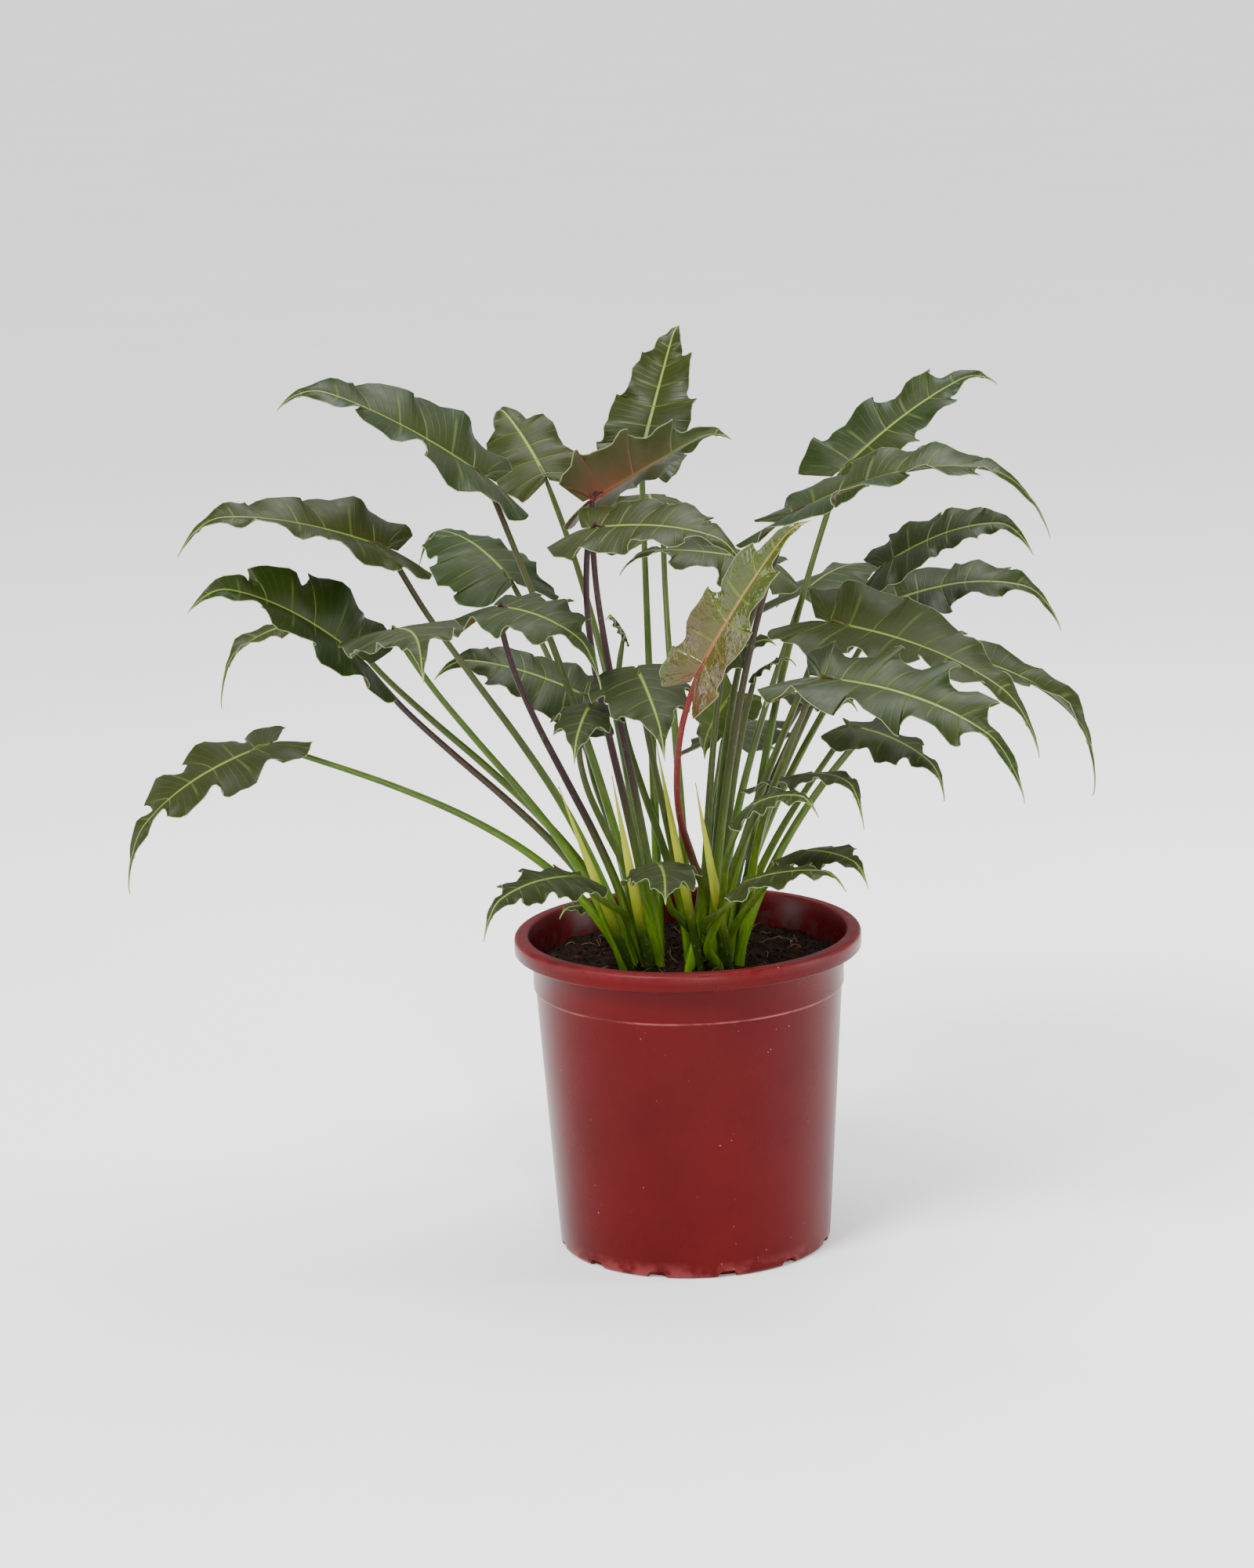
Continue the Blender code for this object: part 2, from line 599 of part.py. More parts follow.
def tube(path, radii, sides):
    """A tube of rings round a path, flat at its lower end, closed at both."""
    points = []
    faces = []
    for i, (spot, radius) in enumerate(zip(path, radii)):
        ahead = unit(path[min(i + 1, len(path) - 1)] - path[max(i - 1, 0)])
        if i == 0:
            ahead = np.array((0.0, 0.0, 1.0))
        level = (0.0, 1.0, 0.0) if abs(ahead[1]) < 0.9 else (1.0, 0.0, 0.0)
        first = unit(np.cross(ahead, level))
        second = np.cross(ahead, first)
        for k in range(sides):
            angle = 2 * math.pi * k / sides
            points.append(spot + (first * math.cos(angle) + second * math.sin(angle)) * radius)
    for i in range(len(path) - 1):
        for k in range(sides):
            j = (k + 1) % sides
            faces.append((i * sides + k, i * sides + j, (i + 1) * sides + j, (i + 1) * sides + k))
    last = (len(path) - 1) * sides
    faces.append(tuple(range(sides)))
    faces.append(tuple(range(last, last + sides)))
    return points, faces


def sheath_slot(sheath):
    return crown_slots(CROWNS[sheath.crown])[sheath.slot]


def choose_slots(leaves):
    """Give each leaf a slot on its own side of the plant: swap slots while that brings all nearer."""
    taken = [sheath_slot(sheath) for sheath in SHEATHS]
    slots = [slot for crown in CROWNS for slot in crown_slots(crown) if slot not in taken]
    wants = [(leaf.attach[0] * MM * SLOT_PULL[0], leaf.attach[1] * MM * SLOT_PULL[1]) for leaf in leaves]

    def cost(leaf, slot):
        if leaf >= len(wants):
            return 0.0
        return (wants[leaf][0] - slots[slot][0]) ** 2 + (wants[leaf][1] - slots[slot][1]) ** 2

    chosen = list(range(len(slots)))
    swapped = True
    while swapped:
        swapped = False
        for i in range(len(slots)):
            for j in range(i + 1, len(slots)):
                now = cost(i, chosen[i]) + cost(j, chosen[j])
                if cost(i, chosen[j]) + cost(j, chosen[i]) < now - 1e-12:
                    chosen[i], chosen[j] = chosen[j], chosen[i]
                    swapped = True
    return [slots[chosen[i]] for i in range(len(leaves))]


def stalk_path(blade, slot):
    """A stalk's centre line: upright at the crown, and arriving at the blade with the leaf's own lean."""
    foot = np.array((slot[0], slot[1], SOIL_LEVEL - WELL_DEPTH + CROWN_HEIGHT + 2 * GAP))
    top = blade.attach
    collar = np.array((slot[0], slot[1], SOIL_LEVEL + COLLAR_RISE))
    reach = np.linalg.norm(top - collar)
    lean = math.radians(blade.leaf.lean)
    down = np.array((math.sin(lean), 0.25 * (collar - top)[1] / reach, -math.cos(lean)))
    outward = unit(top - collar) * STALK_OUTWARD + np.array((0.0, 0.0, STALK_UPWARD))
    first = collar + unit(outward) * reach * STALK_LIFT
    second = top + unit(down) * reach * STALK_ARRIVAL
    path = []
    for i in range(STALK_POINTS - 1):
        t = i / (STALK_POINTS - 2)
        path.append(collar * (1 - t) ** 3 + first * 3 * t * (1 - t) ** 2 + second * 3 * t * t * (1 - t)
                    + top * t ** 3)
    return np.array([foot] + path)


def stalk_radii():
    shares = np.linspace(0, 1, STALK_POINTS)
    return STALK_BASE_RADIUS + (STALK_TOP_RADIUS - STALK_BASE_RADIUS) * np.minimum(1, shares * 1.3) ** 0.8


def nearest_on_segments(p0, p1, q0, q1):
    """The nearest points of two sets of segments, paired row by row."""
    d1, d2, r = p1 - p0, q1 - q0, p0 - q0
    a = (d1 * d1).sum(-1)
    e = (d2 * d2).sum(-1)
    f = (d2 * r).sum(-1)
    c = (d1 * r).sum(-1)
    b = (d1 * d2).sum(-1)
    spread = np.maximum(a * e - b * b, 1e-12)
    s = np.clip((b * f - c * e) / spread, 0, 1)
    t = np.clip((b * s + f) / e, 0, 1)
    s = np.clip((b * t - c) / a, 0, 1)
    return s, t


def part_stalks(paths, sheets):
    """Bend stalks clear of each other, of other leaves' blades and of the sheaths; their ends stay."""
    paths = [path.copy() for path in paths]
    radii = stalk_radii()
    count = len(paths)
    spans = STALK_POINTS - 1
    owner = np.repeat(np.arange(count), spans)
    lower = np.tile(np.arange(spans), count)
    first, second = np.nonzero(owner[:, None] < owner[None, :])
    trees = []
    for points, triangles in sheets:
        trees.append(BVHTree.FromPolygons([Vector(p) for p in points], triangles))
    free = np.ones(STALK_POINTS)
    free[[0, 1, -1]] = 0
    for _ in range(RELAX_ROUNDS):
        line = np.array(paths)
        starts = line[:, :-1].reshape(-1, 3)
        ends = line[:, 1:].reshape(-1, 3)
        s, t = nearest_on_segments(starts[first], ends[first], starts[second], ends[second])
        one = starts[first] + (ends[first] - starts[first]) * s[:, None]
        two = starts[second] + (ends[second] - starts[second]) * t[:, None]
        apart = one - two
        distance = np.linalg.norm(apart, axis=1)
        need = radii[lower[first]] + radii[lower[second]] + STALK_CLEAR
        close = np.nonzero(distance < need)[0]
        push = np.zeros_like(line)
        for k in close:
            move = apart[k] / max(distance[k], 1e-9) * (need[k] - distance[k]) * 0.5
            for segment, sign, share in ((first[k], 1, s[k]), (second[k], -1, t[k])):
                i, j = owner[segment], lower[segment]
                push[i, j] += sign * move * (1 - share)
                push[i, j + 1] += sign * move * share
        push += blade_pushes(line, trees, radii)
        push *= free[None, :, None]
        if np.abs(push).max() < RELAX_END:
            break
        spread = push.copy()
        spread[:, 1:-1] += RELAX_SPREAD * (push[:, :-2] + push[:, 2:])
        line += spread * free[None, :, None]
        paths = list(line)
    return paths


def blade_pushes(line, trees, radii):
    """How far each point of the stalks is pushed off the blades of other leaves."""
    push = np.zeros_like(line)
    for i, path in enumerate(line):
        for j in range(len(path) - 1):
            for share in (0.0, 0.33, 0.67):
                spot = path[j] * (1 - share) + path[j + 1] * share
                need = radii[j] + BLADE_CLEAR
                for k, tree in enumerate(trees):
                    if k == i:
                        continue
                    near, _, _, distance = tree.find_nearest(Vector(spot), need)
                    if near is None:
                        continue
                    away = spot - np.array(near)
                    move = away / max(distance, 1e-6) * (need - distance) * 0.6
                    push[i, j] += move * (1 - share)
                    push[i, j + 1] += move * share
    return push


def build_leaves(finish):
    blades = [Blade(leaf, FIRST_SEED + i) for i, leaf in enumerate(LEAVES)]
    slots = choose_slots(LEAVES)
    sheets = [blade.sheet()[:2] for blade in blades] + [sheath_sheet(sheath) for sheath in SHEATHS]
    paths = part_stalks([stalk_path(blade, slot) for blade, slot in zip(blades, slots)], sheets)
    for blade, path in zip(blades, paths):
        build_leaf(blade, path, finish)


def build_leaf(blade, path, finish):
    """One leaf as one solid: its blade and its stalk, which runs on under the midrib."""
    name = "leaf_" + blade.leaf.name
    points, triangles, ribs = blade.sheet()
    skin, faces = shell(points, triangles, BLADE_THICKNESS / 2, BLADE_THICKNESS / 2 + ribs)
    leaf = add_object(name, mesh_from(name, skin, faces), finish)
    up, _ = blade.frame(0.0)
    sink = up * (STALK_TOP_RADIUS * 0.5)
    line = np.array(list(path[:-1]) + [path[-1] - sink, blade.midrib(STALK_RUN) - sink * 0.4])
    radii = np.append(stalk_radii(), STALK_TOP_RADIUS * 0.5)
    tube_points, tube_faces = tube(line, radii, STALK_SIDES)
    stalk = helper("stalk", mesh_from("stalk", tube_points, tube_faces))
    faces_alone = len(leaf.data.polygons)
    spare = [leaf.data.copy(), stalk.data.copy()]
    boolean(leaf, [stalk], "UNION")
    if len(leaf.data.polygons) < faces_alone:
        leaf.data = spare[0]
        boolean(leaf, [helper("stalk", spare[1])], "UNION", "MANIFOLD")
    leaf.data.materials.clear()
    leaf.data.materials.append(finish)
    smooth(leaf)


def sheath_sheet(sheath):
    """A pointed, folded sheath leaf as a sheet, standing by the stalks it once wrapped."""
    foot = np.array((*sheath_slot(sheath), SOIL_LEVEL - WELL_DEPTH + CROWN_HEIGHT + SHEATH_LIFT))
    top = np.array(sheath.top, float) * MM
    along = unit(top - foot)
    across = unit(np.cross(along, (0.0, -1.0, 0.0)))
    back = np.cross(across, along)
    points = []
    triangles = []
    for i in range(SHEATH_STEPS + 1):
        share = i / SHEATH_STEPS
        bulge = math.sin(math.pi * share)
        wide = sheath.width * MM * (1 - share ** SHEATH_TAPER) * SHEATH_FOOT * (1 + bulge)
        middle = foot + (top - foot) * share + back * SHEATH_BOW * bulge
        folded = back * wide * SHEATH_FOLD
        points += [middle - across * wide - folded, middle, middle + across * wide - folded]
    points[-3:] = [points[-2]] * 3
    for i in range(SHEATH_STEPS):
        row, ahead = i * 3, i * 3 + 3
        for k in (0, 1):
            quad = [row + k, row + k + 1, ahead + k + 1, ahead + k]
            if i == SHEATH_STEPS - 1:
                triangles.append((row + k, row + k + 1, ahead + 1))
            else:
                triangles += [(quad[0], quad[1], quad[2]), (quad[0], quad[2], quad[3])]
    used = sorted({i for face in triangles for i in face})
    renumber = {old: new for new, old in enumerate(used)}
    sheet = np.array([points[i] for i in used])
    return sheet, [tuple(renumber[i] for i in face) for face in triangles]


def build_sheath(sheath, finish):
    sheet, triangles = sheath_sheet(sheath)
    skin, closed = shell(sheet, triangles, SHEATH_THICKNESS / 2, SHEATH_THICKNESS / 2)
    smooth(add_object(sheath.name, mesh_from(sheath.name, skin, closed), finish))


def main():
    clear_scene()
    plastic = material("pot_plastic", (0.20, 0.012, 0.016), 0.32)
    mix = material("potting_mix", (0.045, 0.028, 0.018), 0.95)
    green = material("leaf_green", (0.045, 0.075, 0.022), 0.42)
    straw = material("sheath_straw", (0.42, 0.40, 0.12), 0.6)
    stem = material("crown_stem", (0.20, 0.22, 0.06), 0.6)
    build_pot(plastic)
    build_soil(mix)
    build_crowns(stem)
    build_leaves(green)
    for sheath in SHEATHS:
        build_sheath(sheath, straw)


main()
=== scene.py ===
import math
import random
from collections import namedtuple

import bmesh
import bpy
import numpy as np
from mathutils import Matrix, Vector, noise
from numpy.linalg import norm


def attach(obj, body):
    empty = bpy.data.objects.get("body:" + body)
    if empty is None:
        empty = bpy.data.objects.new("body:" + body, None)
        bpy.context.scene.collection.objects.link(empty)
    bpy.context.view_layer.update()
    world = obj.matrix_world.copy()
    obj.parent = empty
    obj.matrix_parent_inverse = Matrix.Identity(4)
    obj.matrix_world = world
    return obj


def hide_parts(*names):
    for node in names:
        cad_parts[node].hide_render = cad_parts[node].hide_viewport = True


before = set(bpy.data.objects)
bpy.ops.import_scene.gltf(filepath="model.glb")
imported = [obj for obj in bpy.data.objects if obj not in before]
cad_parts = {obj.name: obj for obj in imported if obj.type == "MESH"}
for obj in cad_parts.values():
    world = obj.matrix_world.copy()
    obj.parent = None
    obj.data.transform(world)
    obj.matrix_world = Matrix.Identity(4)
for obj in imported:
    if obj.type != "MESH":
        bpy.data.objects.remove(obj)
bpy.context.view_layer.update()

MM = 0.001

# Camera, from the rim's and the base's ellipses in the photograph, taken as 1600 by 2000 pixels
PHOTO_HEIGHT_PX = 2000
CAMERA_DISTANCE = 3.041
CAMERA_HEIGHT = 1.032
FOCAL_PX = 5805
SENSOR_MM = 36.0
CAMERA_YAW = math.radians(-0.731)
CAMERA_PITCH = math.radians(13.07)
CAMERA_ROLL = math.radians(1.72)

# Pot, as in the CAD
POT_HEIGHT = 0.222
RIM_RADIUS = 0.120
RIM_BAND = 0.012
RIM_ROLL = 0.0035
MOUTH_RADIUS = 0.110
COLLAR_RADIUS = 0.1075
COLLAR_DEPTH = 0.026
COLLAR_STEP = 0.0014
BAND_FOOT = POT_HEIGHT - RIM_BAND
STEP_HEIGHT = BAND_FOOT - COLLAR_DEPTH
FOOT_RADIUS = 0.0945
FOOT_BEVEL = 0.003
WALL = 0.0022
INSIDE_RADIUS = COLLAR_RADIUS - WALL
FLOOR_THICKNESS = 0.003
CHANNEL_INNER = 0.058
CHANNEL_OUTER = 0.084
CHANNEL_HEIGHT = 0.005
CHANNEL_SLOPE = 0.002
BAND_EDGE = 0.0014
LIP_ROUND = 0.0022
POT_SIDES = 160
SHARP_FROM = math.radians(38)
NOTCH_COUNT = 12
NOTCH_WIDTH = 0.014
NOTCH_HEIGHT = 0.006
NOTCH_PHASE = math.radians(-17)
DRAIN_COUNT = 6
DRAIN_RADIUS = 0.005
DRAIN_SIDES = 28

# Soil, and what lies on it
SOIL_LEVEL = 0.200
SOIL_SIDES = 120
SOIL_RINGS = 34
SOIL_RELIEF = 0.0032
SOIL_DEPTH = 0.012
LUMPS_A_METRE = 85
GRIT_A_METRE = 700
GRIT_RELIEF = 0.0005
MOUND_HEIGHT = 0.0035
MOUND_REACH = (0.030, 0.045)
SOIL_SEED = 5
CRUMBS = 2600
CHIPS = 90
FIBRES = 70

# Leaves, as in the CAD, with finer steps
BLADE_THICKNESS = 0.0008
STALK_BASE_RADIUS = 0.0038
STALK_TOP_RADIUS = 0.0021
CAD_STALK_SIDES = 5
STALK_SIDES = 12
STALK_STEPS = 44
STALK_RUN = 0.10
RIB_HEIGHT = 0.0016
RIB_HALF_WIDTH = 0.0012
RIB_FADE = 1.2
VEIN_HEIGHT = 0.0004
GROOVE = 0.0005
GROOVE_REACH_MM = 1.5
QUILT = 0.0007
QUILT_REACH_MM = 5.0
MARGIN_MM = 1.2
MARGIN_THICKNESS = 0.25
STALK_END = (1.0, 0.95, 0.8, 0.6, 0.35)
STALK_FACTS = (0.0, 0.0, 0.0, 9.0, 9.0, 9.0)
VEIN_CURVE = 1.35
LOBE_PHASES = (0.0, 0.05, 0.13, 0.24, 0.35, 0.46, 0.56, 0.63, 0.67, 0.7, 0.73, 0.78, 0.86, 0.94)
VEIN_STEPS = (0.0, 0.02, 0.045, 0.09, 0.16, 0.26, 0.37, 0.48, 0.60, 0.72, 0.83, 0.92, 0.97, 1.0)
TIP_STEPS = (0.2, 0.35, 0.5, 0.62, 0.74, 0.84, 0.92, 0.97, 1.0)
LOBE_PEAK = 0.7
LOBE_FORWARD = 0.035
TOOTH_REACH = 0.026
TOOTH_SHARPNESS = 1.6
NICK = 0.017
CRIMP = 0.0016
LOBE_DEPTH = (0.24, 0.34)
BASE_LOBES = 0.45
TIP_FADE = 0.22
ROOT_ENTIRE = 0.14
ROOT_FADE = 0.20
ARCH_POWER = 0.6
ARCH_SCALE = 0.347
FAN_END = 0.27
FAN_EASE = 1.15
MIDRIB_SLACK = 1.06
HOOK_START = 0.80
HOOK_SHARE = 1.1
HOOK_MOST = 16
HOOK_ALLOWED = 0.7
SIDE_DROOP = 0.6
SWELL_SHARE = 0.6
SWELL_CYCLES = 1.7
FIRST_SEED = 100
TINT_SEED = 700

# Light: the world's white, the soft sun, and the panels, each with its name, place, aim, size and power
WORLD_STRENGTH = 0.55
SUN_FROM = (-0.50, -0.62, 0.80)
SUN_STRENGTH = 4.8
SUN_ANGLE = math.radians(22)
FLOOR_HALF = 40.0
FLOOR_Z = -0.0002
PANELS = (
    ("front", (0.42, -3.0, 0.9), (0.0, 0.0, 0.12), (0.20, 1.5), 70.0),
    ("top", (0.3, 0.6, 2.4), (0.0, 0.0, 0.3), (1.6, 1.6), 70.0),
    ("right", (2.4, -0.2, 0.9), (0.0, 0.0, 0.20), (0.7, 1.8), 50.0),
    ("left", (-2.4, -0.2, 0.9), (0.0, 0.0, 0.20), (0.7, 1.8), 26.0),
)

# The outline of half a blade without its lobes: along the midrib over its length, out over the half width
OUTLINE = (
    (-0.060, 0.05), (-0.13, 0.42), (-0.17, 0.72), (-0.08, 0.95), (0.10, 1.02), (0.28, 0.96),
    (0.45, 0.84), (0.60, 0.66), (0.74, 0.40), (0.86, 0.15), (1.00, 0.0),
)

# One row for each leaf: where the stalk meets the blade and the blade's tip, in mm, the way its upper
# face looks, half width over length, the midrib's rise in mm, how far the sides fold up in degrees,
# lobes a side, the grey bloom from 0 to 1, and the stalk's colour: 0 green, 1 brown, 2 purple, 3 red.
Leaf = namedtuple("Leaf", "name attach tip face width arch fold lobes grey warm", defaults=(0.25, 0.5))
LEAVES = (
    Leaf("left_high", (-130, 40, 535), (-267, 0, 595), (0, -0.35, 1), 0.31, 14, 16, 5, 0.1, 1.0),
    Leaf("left_high_rear", (-93, 170, 514), (-130, 235, 549), (0.1, -0.6, 0.8), 0.36, 8, 0, 4, 0.1, 0.6),
    Leaf("left_mid", (-196, -10, 496), (-332, -60, 508), (0, -0.4, 1), 0.27, 16, 16, 5, 0.15, 1.0),
    Leaf("left_broad", (-215, -30, 424), (-326, -80, 473), (-0.1, -0.5, 0.8), 0.31, 14, 22, 5, 0.1, 1.6),
    Leaf("left_drooping", (-239, 60, 437), (-318, 40, 383), (-0.3, -0.3, 0.9), 0.16, 16, 10, 3),
    Leaf("left_low", (-282, -20, 365), (-375, -70, 281), (-0.5, -0.4, 0.75), 0.25, 18, 4, 5, 0.2, 0.0),
    Leaf("left_front", (-190, -70, 452), (-165, -180, 441), (0, -0.4, 0.9), 0.33, 10, 0, 5, 0.9, 0.0),
    Leaf("mid_left_front", (-122, -30, 458), (-53, -100, 418), (0.2, -0.5, 0.85), 0.33, 14, 4, 5, 0.75, 2.0),
    Leaf("mid_left_rear", (-61, 60, 373), (-171, 50, 395), (0, -0.4, 0.9), 0.30, 10, 0, 5, 0.35, 0.4),
    Leaf("mid_small", (-61, -75, 398), (-71, -140, 374), (-0.1, -0.7, 0.7), 0.34, 6, -6, 4, 0.9, 1.0),
    Leaf("mid_front", (-29, -75, 422), (-12, -150, 378), (0.1, -0.7, 0.7), 0.38, 8, -8, 4, 0.8, 1.0),
    Leaf("crown_tall", (-23, 85, 541), (6, 150, 622), (-0.25, -0.85, 0.4), 0.29, 6, 14, 5, 0.0, 0.3),
    Leaf("crown_folded", (-57, 0, 524), (39, 30, 560), (-0.2, 0.75, 0.6), 0.33, 8, 30, 5, 0.1, 2.0),
    Leaf("young", (11, -145, 432), (86, -185, 540), (-0.5, -0.8, 0.25), 0.17, 8, 20, 5, 0.25, 3.0),
    Leaf("crown_front", (-58, -50, 513), (46, -100, 490), (0.1, -0.4, 0.9), 0.31, 12, 10, 5, 0.3, 2.0),
    Leaf("crown_rear", (65, 62, 466), (-40, 50, 465), (0, -0.3, 0.95), 0.28, 10, -5, 5, 0.2, 0.8),
    Leaf("right_high", (116, 100, 523), (227, 130, 579), (-0.3, -0.5, 0.8), 0.27, 10, 14, 5, 0.15, 0.4),
    Leaf("right_long", (77, 0, 509), (249, -40, 501), (0, -0.15, 1), 0.23, 34, 14, 6, 0.0, 1.4),
    Leaf("right_third", (143, 50, 465), (243, 20, 478), (0, -0.4, 0.95), 0.30, 14, 10, 5, 0.35, 1.0),
    Leaf("right_rear", (146, 110, 426), (267, 90, 412), (0, -0.45, 0.9), 0.26, 16, 6, 5),
    Leaf("right_front", (99, -50, 445), (234, -120, 369), (0.3, -0.5, 0.8), 0.26, 20, 14, 6, 0.45, 0.9),
    Leaf("right_front_low", (90, -160, 430), (215, -240, 367), (0.3, -0.5, 0.8), 0.27, 20, 12, 6, 0.25, 0.9),
    Leaf("right_under", (113, -60, 376), (173, -90, 332), (0.3, -0.3, 0.9), 0.34, 10, -6, 4, 0.6, 0.5),
    Leaf("right_far", (187, 20, 406), (280, 0, 314), (0.5, -0.3, 0.8), 0.16, 22, 25, 3, 0.3, 0.6),
    Leaf("centre_small", (30, 24, 407), (66, 4, 420), (0, -0.5, 0.85), 0.36, 4, -4, 3, 0.8, 0.8),
    Leaf("centre_tiny", (51, 20, 397), (79, 10, 404), (0, -0.1, 1), 0.34, 4, -4, 3, 0.8, 0.8),
    Leaf("centre_dark", (86, 30, 378), (57, -12, 381), (0, -0.4, 0.9), 0.36, 4, -4, 3, 0.6, 0.8),
    Leaf("centre_hanging", (94, 70, 373), (122, 52, 362), (0.1, -0.5, 0.9), 0.34, 4, 0, 3, 0.6, 0.8),
    Leaf("back_lit", (36, 90, 368), (16, 116, 318), (0, -0.85, 0.4), 0.40, 6, -6, 4),
    Leaf("low_right_bent", (61, -75, 343), (117, -150, 330), (0.3, -0.3, 0.9), 0.24, 14, -4, 4, 0.4, 0.6),
    Leaf("low_right_small", (41, -135, 339), (87, -175, 343), (0.1, -0.5, 0.85), 0.28, 8, -4, 4, 0.3, 0.4),
    Leaf("low_right_broad", (77, -75, 294), (120, -125, 282), (0.3, -0.5, 0.8), 0.34, 8, -4, 4, 0.4, 0.4),
    Leaf("low_right", (40, -125, 287), (104, -160, 289), (0.05, -0.3, 0.95), 0.26, 8, -4, 4, 0.3, 0.2),
    Leaf("low_left", (-73, -80, 282), (-135, -130, 255), (-0.3, -0.5, 0.8), 0.28, 12, -4, 5, 0.35, 0.1),
    Leaf("low_front", (-18, -90, 292), (-14, -150, 280), (0, -0.6, 0.8), 0.42, 4, -6, 4, 0.85, 0.1),
    Leaf("low_tiny", (-63, 20, 234), (-88, 2, 232), (-0.2, -0.4, 0.9), 0.34, 4, -4, 3),
    Leaf("shoot_small", (-38, 60, 418), (-51, 45, 433), (-0.2, -0.5, 0.8), 0.36, 3, -4, 3),
    Leaf("back_left", (-120, 170, 440), (-190, 260, 440), (-0.2, 0.3, 0.9), 0.36, 16, -6, 5),
    Leaf("back_middle", (-10, 190, 470), (-20, 300, 450), (0, 0.4, 0.9), 0.38, 18, -6, 5),
    Leaf("back_right", (90, 190, 420), (164, 278, 398), (0.2, 0.4, 0.9), 0.36, 16, -6, 5),
    Leaf("back_low", (30, 170, 320), (64, 262, 284), (0.1, 0.5, 0.85), 0.36, 14, -6, 5),
)

# Sheaths among the stalks: the crown and the slot that they stand in, the tip and the half width in mm
Sheath = namedtuple("Sheath", "name crown slot top width")
SHEATHS = (
    Sheath("sheath_left", 0, 1, (-84, -62, 340), 4.5),
    Sheath("sheath_mid_left", 0, 2, (-48, -60, 346), 5),
    Sheath("sheath_mid_right", 1, 1, (-18, -66, 372), 4.5),
    Sheath("sheath_right", 1, 3, (8, -62, 340), 5),
)
Crown = namedtuple("Crown", "middle columns rows")
CROWNS = (Crown((-0.0320, 0.002), 3, 7), Crown((0.0180, -0.002), 4, 7))
STEM_PITCH = 0.0098
ROW_STAGGER = 0.25
SHEATH_FOOT_Z = 0.1894
SHEATH_STEPS = 36
SHEATH_ACROSS = 12
SHEATH_THICKNESS = 0.0008
SHEATH_BOW = 0.006
SHEATH_RIPPLE = 0.0003

# Colours, as linear light. Each earth has its name, its two browns and its grain
LEAF_DARK = (0.0062, 0.0170, 0.0006)
LEAF_FRESH = (0.0140, 0.0250, 0.0008)
LEAF_OLIVE = (0.028, 0.027, 0.0028)
LEAF_GREY = (0.026, 0.032, 0.013)
LEAF_BETWEEN_VEINS = (0.004, 0.012, 0.002)
LEAF_MOTTLE = (0.042, 0.046, 0.020)
LEAF_SPECK = (0.09, 0.10, 0.07)
LEAF_EDGE = (0.22, 0.27, 0.12)
LEAF_LIT = (0.055, 0.085, 0.012)
VEIN = (0.100, 0.145, 0.022)
MIDRIB = (0.180, 0.250, 0.045)
YOUNG_TOP = (0.042, 0.056, 0.0015)
YOUNG_RED = (0.070, 0.006, 0.0015)
YOUNG_VEIN = (0.20, 0.26, 0.02)
YOUNG_MIDRIBS = ((0.20, 0.010, 0.006), (0.3, 0.2, 0.03))
YOUNG_UNDER = (0.13, 0.17, 0.014)
UNDERS = ((0.022, 0.034, 0.008), (0.036, 0.044, 0.011))
UNDER_VEIN = (0.10, 0.14, 0.04)
UNDER_RED_VEIN = (0.15, 0.009, 0.006)
UNDER_BLUSH = (0.095, 0.011, 0.006)
UNDER_EDGE = (0.20, 0.24, 0.11)
UNDER_MOTTLE = (0.060, 0.070, 0.032)
STALK_BASES = ((0.050, 0.122, 0.002), (0.104, 0.185, 0.006))
STALK_MIDDLES = ((0.024, 0.054, 0.002), (0.048, 0.078, 0.004))
STALK_BROWN = (0.026, 0.013, 0.006)
STALK_PURPLE = (0.018, 0.004, 0.005)
STALK_RED = (0.085, 0.007, 0.004)
STALK_HUSK = (0.10, 0.075, 0.03)
STALK_FLECK = (0.085, 0.095, 0.035)
POT_REDS = ((0.050, 0.0001, 0.0006), (0.068, 0.0002, 0.0010))
POT_WEAR = (0.118, 0.014, 0.016)
POT_DUST = (0.085, 0.003, 0.004)
POT_SPECK = (0.55, 0.36, 0.33)
POT_LINE = (0.34, 0.085, 0.085)
POT_SCUFF = (0.030, 0.003, 0.004)
POT_FOOT = (0.22, 0.045, 0.045)
POT_SOILED = (0.040, 0.022, 0.016)
EARTH_GRAIN = (0.060, 0.034, 0.018)
SHEATH_GREENS = ((0.018, 0.040, 0.002), (0.23, 0.27, 0.006))
SHEATH_RIPE = (0.38, 0.37, 0.050)
SHEATH_TIP = (0.42, 0.30, 0.11)
SHEATH_FLECK = (0.22, 0.17, 0.05)
BACKDROPS = ((0.90, 0.90, 0.895), (0.92, 0.92, 0.915))
EARTHS = (
    ("potting_mix_fine", (0.0045, 0.0022, 0.0013), (0.022, 0.011, 0.006), 180.0),
    ("crumb", (0.005, 0.0026, 0.0016), (0.030, 0.015, 0.009), 300.0),
    ("bark", (0.030, 0.007, 0.004), (0.085, 0.022, 0.012), 260.0),
    ("fibre", (0.12, 0.075, 0.035), (0.26, 0.18, 0.10), 400.0),
)


def smooth_through(values, share):
    """Catmull-Rom through a row of points, at a share of its length from 0 to 1."""
    last = len(values) - 1
    at = min(max(share, 0.0), 1.0) * last
    i = min(int(at), last - 1)
    t = at - i
    p1, p2 = values[i], values[i + 1]
    p0 = values[i - 1] if i > 0 else 2 * p1 - p2
    p3 = values[i + 2] if i + 2 <= last else 2 * p2 - p1
    return 0.5 * (2 * p1 + (p2 - p0) * t + (2 * p0 - 5 * p1 + 4 * p2 - p3) * t * t
                  + (3 * p1 - p0 - 3 * p2 + p3) * t ** 3)


